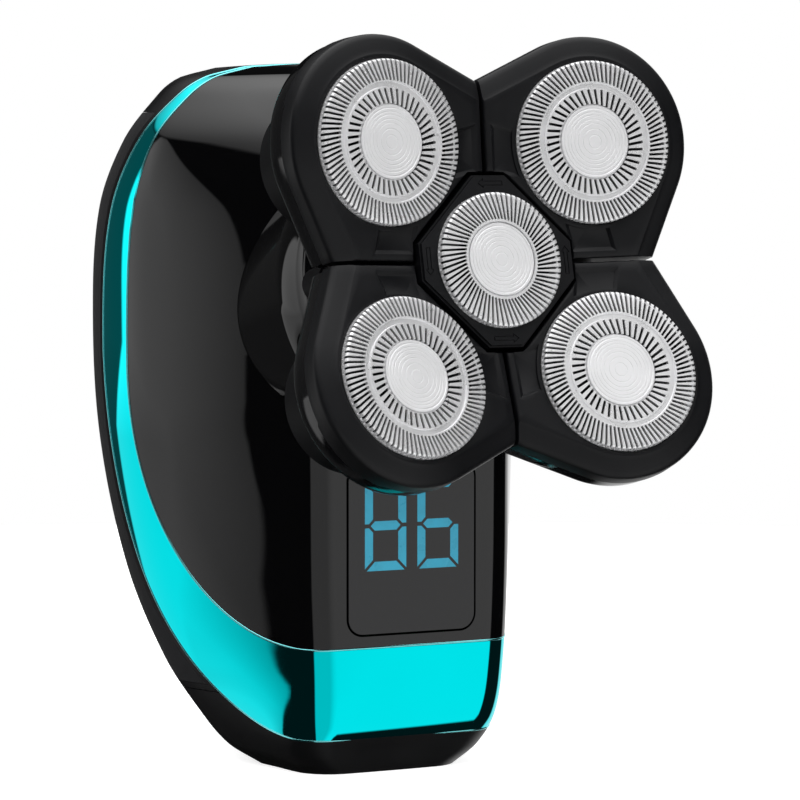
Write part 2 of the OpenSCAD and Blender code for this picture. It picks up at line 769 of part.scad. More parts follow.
// Angle at which a pod's straight side leaves its lobe, towards the notch between two pods
notch_x = pod_notch / sqrt(2) - pod_ring;
notch_y = pod_notch / sqrt(2);
side_angle = atan2(notch_y, notch_x) - acos(pod_r / norm([notch_x, notch_y]));
// Point on a pod's seam at the distance n from the head's axis and the depth z, in the pod's frame
function seam_point(n, side, z) =
  [(n / sqrt(2) - pod_ring + z * sin(pod_lean)) / cos(pod_lean), side * n / sqrt(2)];

// Level of a pod's cup at the depth z, as a lobe that runs out to the notches on both seams
module pod_slice(z, r, n) {
  translate([0, 0, z]) linear_extrude(eps) {
    circle(r = r, $fn = 48);
    polygon([seam_point(n, 1, z), seam_point(octagon_a, 1, z), seam_point(octagon_a, -1, z), seam_point(n, -1, z)]);
  }
}

// Reach along the seams of a pod's sides where they stand off the lobe's middle by r at the depth z
function side_reach(z, r) =
  let (k = cos(side_angle) / cos(pod_lean))
  sqrt(2) * (r + (pod_ring - z * sin(pod_lean)) * k) / (k + sin(side_angle));

function octagon(grow) =
  let (a = octagon_a + grow, b = octagon_b + grow * tan(22.5))
  [[b, a], [a, b], [a, -b], [b, -a], [-b, -a], [-a, -b], [-a, b], [-b, a]];

// The quarter of the head that holds the pod at the angle a, clear of the centre frame
module quarter(a, gap) {
  in_head() rotate([0, 0, a - 45]) difference() {
    translate([gap / 2, gap / 2, -40]) cube([60, 60, 60]);
    translate([0, 0, -50]) rotate([0, 0, 45 - a]) linear_extrude(80) polygon(octagon(gap / 2));
  }
}

flat_r = cap_r + 0.7;
cap_fit = 0.05;
cup_in = 0.3;

// Levels of a pod's frame from the lip at its cup up to the flat round its cap, as depth and radius
FRAME_LEVELS = [
  [frame_depth, pod_r - 0.15], [frame_depth - 0.2, pod_r], [3, pod_r], [2.7, pod_r - 0.06], [2.4, pod_r - 0.25],
  [2.15, pod_r - 0.55], [1.95, pod_r - 1], [cap_proud + 0.1, flat_r + 0.25], [cap_proud, flat_r]
];

module pod_frame(a) {
  color([0.04, 0.04, 0.045]) difference() {
    intersection() {
      at_pod(a) for (i = [0:len(FRAME_LEVELS) - 2]) hull()
        for (l = [FRAME_LEVELS[i], FRAME_LEVELS[i + 1]]) pod_slice(-l[0], l[1], side_reach(-l[0], l[1]));
      quarter(a, seam);
    }
    at_pod(a) {
      translate([0, 0, -frame_depth - 1]) cylinder(r = cap_r + cap_fit, h = frame_depth + 2, $fn = 60);
      translate([0, 0, -frame_depth - 1]) cylinder(r = cap_r + 0.6, h = frame_depth + 1 - skirt + 0.3, $fn = 60);
    }
  }
}

ear_y = 3.9;
ear_t = 1.2;

module pod_cup(a) {
  color([0.02, 0.02, 0.025]) difference() {
    union() {
      intersection() {
        at_pod(a) hull() {
          pod_slice(-cup_depth, pod_r - 1.7, pod_notch - 2);
          pod_slice(-cup_depth + 0.4, pod_r - 0.9, pod_notch - 1.1);
          pod_slice(-cup_depth + 1.2, pod_r - cup_in - 0.1, pod_notch - 0.5);
          pod_slice(-frame_depth - 0.1 - eps, pod_r - cup_in, pod_notch - 0.4);
        }
        quarter(a, 1.2);
      }
      at_pod(a) {
        translate([0, 0, -frame_depth - 0.2]) cylinder(r = cap_r + 0.5, h = frame_depth + 0.2 - skirt - 0.1, $fn = 96);
        for (s = [-1, 1]) translate([pin_x, s * (ear_y + ear_t / 2), 0]) {
          translate([0, 0, -pin_depth]) rotate([90, 0, 0]) cylinder(r = 1.4, h = ear_t, center = true, $fn = 32);
          translate([-1.4, -ear_t / 2, -pin_depth]) cube([2.8, ear_t, pin_depth - cup_depth + 0.3]);
        }
      }
    }
    at_pod(a) {
      translate([0, 0, -cup_depth + 1]) cylinder(r = cap_r - 0.4, h = cup_depth, $fn = 96);
      translate([0, 0, -cup_depth - 1]) cylinder(r = 5, h = 4, $fn = 64);
      translate([pin_x, 0, -pin_depth]) rotate([90, 0, 0]) cylinder(r = pin_r + fit, h = 20, center = true, $fn = 32);
    }
  }
}

// A ring of slots from r0 to r1, swept from radial and cut down to the depth z
module slot_ring(n, r0, r1, w, z) {
  for (i = [0:n - 1]) rotate([0, 0, 360 * i / n]) translate([(r0 + r1) / 2, 0, 0.5 - z / 2])
    rotate([0, 0, slot_sweep]) cube([(r1 - r0) / cos(slot_sweep), w, 1 + z], center = true);
}

rim_cut = 1.1;
channel_in = 7.6;
channel_out = 8.4;

module pod_cap(a) {
  color("silver") at_pod(a) difference() {
    rotate_extrude($fn = 120) polygon([
      [disc_r + 0.05, -cap_t], [disc_r + 0.05, 0],
      [channel_in, 0], [channel_in + 0.1, -0.35], [channel_out - 0.1, -0.35], [channel_out, 0],
      [cap_r - 0.4, 0], [cap_r - 0.1, -0.12], [cap_r, -0.4], [cap_r, -skirt + 0.1],
      [cap_r + 0.5, -skirt + 0.1 ], [cap_r + 0.5, -skirt - 0.1 + 0.02],
      [cap_r - cap_t, -skirt - 0.1 + 0.02], [cap_r - cap_t, -0.45],
      [channel_out + 0.25, -0.45], [channel_out + 0.25, -0.35 - cap_t], [channel_in - 0.25, -0.35 - cap_t],
      [channel_in - 0.25, -cap_t]
    ]);
    slot_ring(outer_slots, channel_out + 0.3, cap_r + 0.4, slot_w, rim_cut);
    slot_ring(inner_slots, disc_r + 0.3, channel_in - 0.3, slot_w + 0.08, rim_cut);
  }
}

module pod_disc(a) {
  color([0.93, 0.93, 0.93]) at_pod(a) rotate_extrude($fn = 96) polygon([
    [0, -cap_t - 0.25], [disc_r + 0.25, -cap_t - 0.25], [disc_r + 0.25, -cap_t], [disc_r, -cap_t],
    [disc_r, -0.12], [disc_r - 0.15, -0.02], [disc_r - 0.5, -0.02], [disc_r - 0.6, -0.08], [0, -0.08]
  ]);
}

blades = 12;

// A rotary cutter: a dished plate with raked blades under each slotted ring
module cutter(r_out, rings, hub_depth, socket_r) {
  difference() {
    union() {
      translate([0, 0, -4]) cylinder(r = r_out, h = 0.8, $fn = 72);
      for (ring = rings, i = [0:blades - 1]) rotate([0, 0, 360 * i / blades])
        translate([(ring[0] + ring[1]) / 2, 0, -2.4]) rotate([18, 0, 0])
          cube([ring[1] - ring[0], 0.9, 3], center = true);
      translate([0, 0, -hub_depth]) cylinder(r = socket_r + 1.2, h = hub_depth - 1.4, $fn = 64);
    }
    translate([0, 0, -hub_depth - 1]) cylinder(r = socket_r, h = hub_depth - 2.6, $fn = socket_r > hex_r + 0.1 ? 48 : 6);
    translate([0, 0, -0.85]) cylinder(r = r_out + 2, h = 3, $fn = 72);
  }
}

module pod_cutter(a) {
  color([0.7, 0.7, 0.72]) at_pod(a) cutter(cap_r - 0.9, [[disc_r + 0.5, channel_in - 0.5], [channel_out + 0.5, cap_r - 0.9]], 7.6, ball_r + 1);
}

module centre_cutter() {
  color([0.7, 0.7, 0.72]) in_head() cutter(centre_cap_r - 0.9, [[disc_r + 0.5, centre_cap_r - 0.9]], 6.5, hex_r);
}

module centre_cap() {
  color("silver") in_head() difference() {
    rotate_extrude($fn = 120) polygon([
      [disc_r + 0.05, -cap_t], [disc_r + 0.05, 0],
      [centre_cap_r - 0.4, 0], [centre_cap_r - 0.1, -0.12], [centre_cap_r, -0.4], [centre_cap_r, -skirt + 0.1],
      [centre_cap_r + 0.4, -skirt + 0.1], [centre_cap_r + 0.4, -skirt - 0.08],
      [centre_cap_r - cap_t, -skirt - 0.08], [centre_cap_r - cap_t, -0.45], [disc_r + 1.2, -cap_t]
    ]);
    slot_ring(centre_slots, disc_r + 0.4, centre_cap_r + 0.4, slot_w, rim_cut);
  }
}

module centre_disc() {
  color([0.93, 0.93, 0.93]) in_head() rotate_extrude($fn = 96) polygon([
    [0, -cap_t - 0.25], [disc_r + 0.25, -cap_t - 0.25], [disc_r + 0.25, -cap_t], [disc_r, -cap_t],
    [disc_r, -0.12], [disc_r - 0.15, -0.02], [disc_r - 0.5, -0.02], [disc_r - 0.6, -0.08], [0, -0.08]
  ]);
}

// Outline of a turn arrow that points along X, as a thin engraved line
module arrow(line) {
  difference() {
    polygon([[2.1, 0], [1.1, 0.75], [1.1, 0.35], [-2.1, 0.35], [-2.1, -0.35], [1.1, -0.35], [1.1, -0.75]]);
    polygon([[2.1 - 2 * line, 0], [1.1 + line, 0.75 - 2 * line], [1.1 + line, 0.35 - line], [-2.1 + line, 0.35 - line],
      [-2.1 + line, -0.35 + line], [1.1 + line, -0.35 + line], [1.1 + line, -0.75 + 2 * line]]);
  }
}

module centre_frame() {
  color([0.05, 0.05, 0.055]) in_head() difference() {
    union() {
      translate([0, 0, -cover_top]) linear_extrude(cover_top - cap_proud - 0.4) polygon(octagon(-seam / 2));
      translate([0, 0, -cap_proud - 0.5]) linear_extrude(0.5) polygon(octagon(-seam / 2 - 0.3));
    }
    translate([0, 0, -cover_top - 1]) cylinder(r = centre_cap_r + cap_fit, h = cover_top + 3, $fn = 96);
    translate([0, 0, -cover_top - 1]) cylinder(r = centre_cap_r + 0.5, h = cover_top + 1 - skirt + 0.2, $fn = 96);
    for (i = [0:3]) rotate([0, 0, 90 * i]) translate([0, octagon_a - 1.55, -cap_proud - 0.15])
      rotate([0, 0, 180]) linear_extrude(1) arrow(0.12);
  }
}

module centre_retainer() {
  color([0.08, 0.08, 0.085]) in_head() difference() {
    translate([0, 0, -cover_top]) cylinder(r = centre_cap_r + 0.4, h = cover_top - skirt - 0.1, $fn = 96);
    translate([0, 0, -cover_top - 1]) cylinder(r = centre_cap_r - 0.5, h = cover_top + 1, $fn = 96);
  }
}

// ---------------------------------------------------------------- nodes

front_shell();
trim_band();
rear_shell();
grip_pad();
base_cap();
neck_collar();
neck_ring();
case_screws();
power_panel();
display_digits();
display_module();
power_switch();
circuit_board();
charging_socket();
cell_holder();
cell();
motor_mount();
motor();
motor_shaft();
drive_coupler();
gear_case();
gear_cover();
head_screws();
pod_pins();
sun_gear();
centre_frame();
centre_retainer();
centre_cap();
centre_disc();
centre_cutter();
pod_frame(PODS[0][1]);  // pod_frame_ur
pod_cup(PODS[0][1]);  // pod_cup_ur
pod_cap(PODS[0][1]);  // pod_cap_ur
pod_disc(PODS[0][1]);  // pod_disc_ur
pod_cutter(PODS[0][1]);  // pod_cutter_ur
pod_gear(PODS[0][1]);  // pod_gear_ur
pod_frame(PODS[1][1]);  // pod_frame_ul
pod_cup(PODS[1][1]);  // pod_cup_ul
pod_cap(PODS[1][1]);  // pod_cap_ul
pod_disc(PODS[1][1]);  // pod_disc_ul
pod_cutter(PODS[1][1]);  // pod_cutter_ul
pod_gear(PODS[1][1]);  // pod_gear_ul
pod_frame(PODS[2][1]);  // pod_frame_ll
pod_cup(PODS[2][1]);  // pod_cup_ll
pod_cap(PODS[2][1]);  // pod_cap_ll
pod_disc(PODS[2][1]);  // pod_disc_ll
pod_cutter(PODS[2][1]);  // pod_cutter_ll
pod_gear(PODS[2][1]);  // pod_gear_ll
pod_frame(PODS[3][1]);  // pod_frame_lr
pod_cup(PODS[3][1]);  // pod_cup_lr
pod_cap(PODS[3][1]);  // pod_cap_lr
pod_disc(PODS[3][1]);  // pod_disc_lr
pod_cutter(PODS[3][1]);  // pod_cutter_lr
pod_gear(PODS[3][1]);  // pod_gear_lr
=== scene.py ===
"""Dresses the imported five-head rotary shaver: smooth shells, floating pods, finishes, light and camera."""
from __future__ import annotations

import json
import logging
import math
from dataclasses import dataclass, field
from enum import Enum
from typing import Callable, Sequence

import bpy
from mathutils import Matrix, Vector

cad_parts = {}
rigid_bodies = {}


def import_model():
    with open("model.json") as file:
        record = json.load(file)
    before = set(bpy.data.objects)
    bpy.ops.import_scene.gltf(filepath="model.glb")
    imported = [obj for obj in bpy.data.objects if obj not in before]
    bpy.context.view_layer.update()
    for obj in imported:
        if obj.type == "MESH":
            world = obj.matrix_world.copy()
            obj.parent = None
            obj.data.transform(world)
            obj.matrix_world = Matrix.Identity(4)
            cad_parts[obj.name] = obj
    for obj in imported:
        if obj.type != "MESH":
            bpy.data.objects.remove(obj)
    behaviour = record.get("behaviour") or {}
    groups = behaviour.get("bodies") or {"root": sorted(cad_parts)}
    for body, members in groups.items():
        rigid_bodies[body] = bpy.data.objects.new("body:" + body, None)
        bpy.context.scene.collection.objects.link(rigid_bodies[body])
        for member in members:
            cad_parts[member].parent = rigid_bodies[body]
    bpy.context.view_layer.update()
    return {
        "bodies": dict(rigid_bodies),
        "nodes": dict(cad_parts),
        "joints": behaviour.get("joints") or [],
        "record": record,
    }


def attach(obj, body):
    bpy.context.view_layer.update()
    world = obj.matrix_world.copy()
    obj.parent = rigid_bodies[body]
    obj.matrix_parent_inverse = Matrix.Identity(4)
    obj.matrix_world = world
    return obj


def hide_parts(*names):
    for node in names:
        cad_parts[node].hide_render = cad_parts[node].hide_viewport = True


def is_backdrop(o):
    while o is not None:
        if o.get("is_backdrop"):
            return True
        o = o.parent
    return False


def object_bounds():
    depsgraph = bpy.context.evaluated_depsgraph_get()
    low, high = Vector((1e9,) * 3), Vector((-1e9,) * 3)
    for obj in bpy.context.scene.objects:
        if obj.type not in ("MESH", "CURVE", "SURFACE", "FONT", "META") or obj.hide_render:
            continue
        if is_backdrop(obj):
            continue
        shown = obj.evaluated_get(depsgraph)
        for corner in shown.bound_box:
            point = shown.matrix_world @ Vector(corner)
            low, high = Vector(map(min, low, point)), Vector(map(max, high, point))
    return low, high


LOG = logging.getLogger("shaver")
MM = 0.001
TAU = 2 * math.pi
Point = tuple[float, float]
Ring = list[Vector]
Piece = bpy.types.Object
Socket = bpy.types.NodeSocket


# ------------------------------------------------------------------ modelling steps


def in_metres(place: Matrix) -> Matrix:
    """Returns a place given in millimetres as one that moves meshes in metres."""
    return Matrix.Scale(MM, 4) @ place @ Matrix.Scale(1 / MM, 4)


def deselect() -> None:
    """Leaves edit mode and deselects everything."""
    if bpy.context.object and bpy.context.object.mode != "OBJECT":
        bpy.ops.object.mode_set(mode="OBJECT")
    bpy.ops.object.select_all(action="DESELECT")


def pick(piece: Piece) -> None:
    """Makes one piece the only selected and active one."""
    deselect()
    piece.select_set(True)
    bpy.context.view_layer.objects.active = piece


def edit(piece: Piece, *steps: Callable[[], object]) -> None:
    """Runs operators in edit mode on the whole of a piece.

    Args:
        piece: The piece to edit.
        steps: The operators, each called with everything selected.
    """
    pick(piece)
    bpy.ops.object.mode_set(mode="EDIT")
    for step in steps:
        bpy.ops.mesh.select_all(action="SELECT")
        step()
    bpy.ops.object.mode_set(mode="OBJECT")


def weld() -> None:
    """Joins coincident vertices, closes the mesh's seams and turns its faces outwards."""
    bpy.ops.mesh.remove_doubles(threshold=1e-6)
    bpy.ops.mesh.normals_make_consistent(inside=False)


def modify(piece: Piece, kind: str, **settings: object) -> None:
    """Adds a modifier to a piece and applies it.

    Args:
        piece: The piece to change.
        kind: The modifier's type.
        settings: The modifier's values.
    """
    pick(piece)
    modifier = piece.modifiers.new(kind.title(), kind)
    for key, value in settings.items():
        setattr(modifier, key, value)
    bpy.ops.object.modifier_apply(modifier=modifier.name)


def cut(piece: Piece, tool: Piece, how: str = "DIFFERENCE", keep: bool = False) -> None:
    """Cuts a piece with another solid.

    Args:
        piece: The solid that stays.
        tool: The solid that cuts it.
        how: The boolean operation.
        keep: Whether the tool is kept for another cut.
    """
    modify(piece, "BOOLEAN", object=tool, operation=how, solver="MANIFOLD")
    if not keep:
        bpy.data.objects.remove(tool)


def lofted(name: str, rings: Sequence[Ring], wrap_rows: bool = False, wrap_columns: bool = True) -> Piece:
    """Models a skin through rings of points from a grid whose rows are moved to them.

    Args:
        name: The piece's name.
        rings: Rows of points in millimetres, all equally long.
        wrap_rows: Whether the last row joins the first.
        wrap_columns: Whether each row is a closed ring.

    Returns:
        The new piece.
    """
    rows = list(rings) + ([rings[0]] if wrap_rows else [])
    width = len(rows[0]) + (1 if wrap_columns else 0)
    deselect()
    bpy.ops.mesh.primitive_grid_add(x_subdivisions=width - 1, y_subdivisions=len(rows) - 1, size=MM)
    piece = bpy.context.active_object
    piece.name = piece.data.name = name
    flat: list[float] = []
    for row in rows:
        for point in row + ([row[0]] if wrap_columns else []):
            flat.extend((point[0] * MM, point[1] * MM, point[2] * MM))
    if len(flat) != 3 * len(piece.data.vertices):
        raise RuntimeError(f"{name}: the grid and its rings differ in size")
    piece.data.vertices.foreach_set("co", flat)
    edit(piece, weld)
    return piece


def spun(name: str, profile: Sequence[Point], place: Matrix, steps: int = 128) -> Piece:
    """Turns a closed profile round an axis.

    Args:
        name: The piece's name.
        profile: Radius and height of the profile's points in millimetres.
        place: The axis's place, in millimetres.
        steps: The number of steps round the axis.

    Returns:
        The new piece.
    """
    deselect()
    bpy.ops.mesh.primitive_circle_add(vertices=len(profile), radius=MM, fill_type="NOTHING")
    piece = bpy.context.active_object
    piece.name = piece.data.name = name
    for vertex, (radius, height) in zip(piece.data.vertices, profile):
        vertex.co = Vector((radius, 0, height)) * MM
    edit(piece, lambda: bpy.ops.mesh.spin(steps=steps, angle=TAU, center=(0, 0, 0), axis=(0, 0, 1)), weld)
    piece.data.transform(in_metres(place))
    return piece


def prism(name: str, outline: Sequence[Vector], reach: Vector) -> Piece:
    """Draws a flat outline out into a prism.

    Args:
        name: The piece's name.
        outline: The outline's points in millimetres.
        reach: The way that the outline is drawn out, in millimetres.

    Returns:
        The new piece.
    """
    deselect()
    bpy.ops.mesh.primitive_circle_add(vertices=len(outline), radius=MM, fill_type="NGON")
    piece = bpy.context.active_object
    piece.name = piece.data.name = name
    for vertex, point in zip(piece.data.vertices, outline):
        vertex.co = point * MM
    edit(piece, lambda: bpy.ops.mesh.extrude_region_move(TRANSFORM_OT_translate={"value": tuple(reach * MM)}), weld)
    return piece


def copy_of(piece: Piece, name: str) -> Piece:
    """Copies a piece with a mesh of its own."""
    twin = piece.copy()
    twin.data = piece.data.copy()
    twin.name = twin.data.name = name
    bpy.context.scene.collection.objects.link(twin)
    return twin


def settle(piece: Piece, finish: "Finish", body: str, slot: str, *nodes: str, angle: float = 32) -> None:
    """Smooths a finished piece, dresses it and makes it ride on its body.

    Args:
        piece: The finished piece.
        finish: Its surface finish.
        body: The body that carries it.
        slot: The record's material slot; not used.
        nodes: The nodes that it stands for.
        angle: The angle in degrees past which an edge stays sharp.
    """
    pick(piece)
    bpy.ops.object.shade_smooth_by_angle(angle=math.radians(angle))
    piece.data.materials.clear()
    piece.data.materials.append(finish.material())
    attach(piece, body)
    if nodes:
        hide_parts(*nodes)
    LOG.info("%s: %d faces on %s", piece.name, len(piece.data.polygons), body)


# ------------------------------------------------------------------ finishes


class Nodes:
    """A material's node tree, filled a step at a time."""

    def __init__(self, name: str) -> None:
        """Starts a material of that name with one shader."""
        self.material = bpy.data.materials.new(name)
        self.material.use_nodes = True
        self.tree = self.material.node_tree
        self.shader = self.tree.nodes["Principled BSDF"]
        self.place = self.add("ShaderNodeTexCoord").outputs["Object"]

    def add(self, kind: str, **values: object) -> bpy.types.Node:
        """Adds a node and sets its properties, then its input sockets.

        Args:
            kind: The node's type.
            values: Property values, or values and links of input sockets with _ for a space.

        Returns:
            The new node.
        """
        node = self.tree.nodes.new(kind)
        for key, value in values.items():
            if hasattr(node, key):
                setattr(node, key, value)
            else:
                by_number = key[0] == "i" and key[1:].isdigit()
                socket = node.inputs[int(key[1:]) if by_number else key.replace("_", " ")]
                self.feed(socket, value)
        return node

    def feed(self, socket: Socket, value: object) -> None:
        """Links an output to a socket, or sets the socket's value."""
        if isinstance(value, Socket):
            self.tree.links.new(value, socket)
        else:
            socket.default_value = value

    def noise(self, size: float, detail: float = 2.0) -> Socket:
        """Returns a noise pattern whose features are size millimetres wide."""
        return self.add("ShaderNodeTexNoise", Vector=self.place, Scale=1 / (size * MM), Detail=detail).outputs["Fac"]

    def spread(self, value: Socket, low: float, high: float) -> Socket:
        """Maps the middle of a pattern's range to the range from low to high."""
        node = self.add("ShaderNodeMapRange", Value=value, From_Min=0.3, From_Max=0.7, To_Min=low, To_Max=high)
        return node.outputs["Result"]


@dataclass(frozen=True)
class Finish:
    """A surface finish whose colour, roughness and relief vary with fine patterns."""

    name: str
    colour: tuple[float, float, float]
    roughness: float
    metallic: float = 0.0
    shade: float = 0.12
    patch: float = 9.0
    grain: float = 0.4
    relief: float = 0.0
    glow: float = 0.0
    sheen: float = 0.0
    specular: float = 0.5

    def material(self) -> bpy.types.Material:
        """Returns the finish's material, made on first use."""
        return bpy.data.materials.get(f"{self.name}_finish") or self.build()

    def build(self) -> bpy.types.Material:
        """Makes the material's nodes.

        Returns:
            The new material.
        """
        nodes = Nodes(f"{self.name}_finish")
        shader = nodes.shader
        patch = nodes.noise(self.patch, 3)
        dark = tuple(c * (1 - self.shade) for c in self.colour) + (1.0,)
        light = tuple(min(1.0, c * (1 + self.shade)) for c in self.colour) + (1.0,)
        tone = nodes.add("ShaderNodeMix", data_type="RGBA")
        nodes.feed(tone.inputs[0], patch)
        nodes.feed(tone.inputs[6], dark)
        nodes.feed(tone.inputs[7], light)
        nodes.feed(shader.inputs["Base Color"], tone.outputs[2])
        nodes.feed(shader.inputs["Roughness"], nodes.spread(patch, self.roughness * 0.85, self.roughness * 1.15))
        shader.inputs["Metallic"].default_value = self.metallic
        if self.relief:
            grain = nodes.noise(self.grain, 2)
            bump = nodes.add("ShaderNodeBump", Strength=0.6, Distance=self.relief * MM, Height=grain)
            nodes.feed(shader.inputs["Normal"], bump.outputs["Normal"])
        if self.glow:
            nodes.feed(shader.inputs["Emission Color"], tone.outputs[2])
            shader.inputs["Emission Strength"].default_value = self.glow
        if self.sheen:
            shader.inputs["Sheen Weight"].default_value = self.sheen
        shader.inputs["Specular IOR Level"].default_value = self.specular
        return nodes.material


class Finishes:
    """The finishes of this shaver's surfaces."""

    PIANO = Finish("piano_black", (0.0011, 0.0011, 0.0013), 0.02, patch=24, grain=5.0, relief=0.0008)
    CUP = Finish("cup_gloss", (0.0015, 0.0015, 0.0018), 0.09, patch=12, grain=0.8, relief=0.003)
    SATIN = Finish("satin_black", (0.0035, 0.0035, 0.004), 0.36, grain=0.25, relief=0.008, specular=0.2)
    PAD = Finish("soft_pad", (0.008, 0.008, 0.009), 0.55, grain=0.22, relief=0.03, sheen=0.03, specular=0.14)
    PLATE = Finish("cyan_plate", (0.0, 0.75, 0.8), 0.03, metallic=1.0, shade=0.03, patch=14, grain=4.0, relief=0.001)
    # The rim's paler, whiter cyan is a painted highlight along the band's edges; the rounded rim catches real light
    # as well.
    RIM = Finish("cyan_rim", (0.25, 0.85, 0.88), 0.16, metallic=1.0, shade=0.03, patch=4, grain=1.0, relief=0.001)
    POD = Finish("pod_matt", (0.0028, 0.0029, 0.0036), 0.42, patch=6, grain=0.16, relief=0.012, specular=0.3)
    PANEL = Finish("smoked_panel", (0.0025, 0.0025, 0.0032), 0.03, patch=20, grain=5.0, relief=0.0008)
    DIGIT = Finish("lit_digit", (0.015, 0.19, 0.28), 0.3, shade=0.25, patch=3, glow=0.8)
    CAP = Finish("cap_steel", (0.88, 0.88, 0.89), 0.3, metallic=0.7, shade=0.06, patch=3, grain=0.15, relief=0.004)
    DISC = Finish("disc_silver", (0.74, 0.74, 0.75), 0.42, metallic=0.5, shade=0.02, patch=4, grain=0.12,
                  relief=0.003)
    # The cutters' near-black steel is painted shade: it darkens the caps' slots, where the steel sits in shadow
    # under the cap.
    CUTTER = Finish("cutter_steel", (0.05, 0.05, 0.053), 0.42, metallic=1.0, shade=0.15, patch=2, grain=0.3,
                    relief=0.01)
    STEEL = Finish("plain_steel", (0.6, 0.6, 0.62), 0.28, metallic=1.0, shade=0.1, patch=4, grain=0.3, relief=0.01)
    MOULDED = Finish("moulded_black", (0.02, 0.02, 0.021), 0.45, grain=0.3, relief=0.02)
    ACETAL = Finish("natural_acetal", (0.78, 0.76, 0.68), 0.35, shade=0.06, patch=5, grain=0.5, relief=0.01)
    GUIDE = Finish("light_guide", (0.75, 0.75, 0.7), 0.4, shade=0.05, grain=0.5, relief=0.01)
    BOARD = Finish("solder_mask", (0.01, 0.12, 0.045), 0.25, shade=0.2, patch=2, grain=0.6, relief=0.02)
    SLEEVE = Finish("cell_sleeve", (0.03, 0.16, 0.4), 0.22, shade=0.1, grain=1.0, relief=0.01)


class Pod(Enum):
    """The four outer pods, by the angle in degrees at which each stands round the head's axis."""

    UR = 45
    UL = 135
    LL = 225
    LR = 315

    @property
    def key(self) -> str:
        """The pod's ending in the names of its nodes and bodies."""
        return self.name.lower()


# ------------------------------------------------------------------ grip


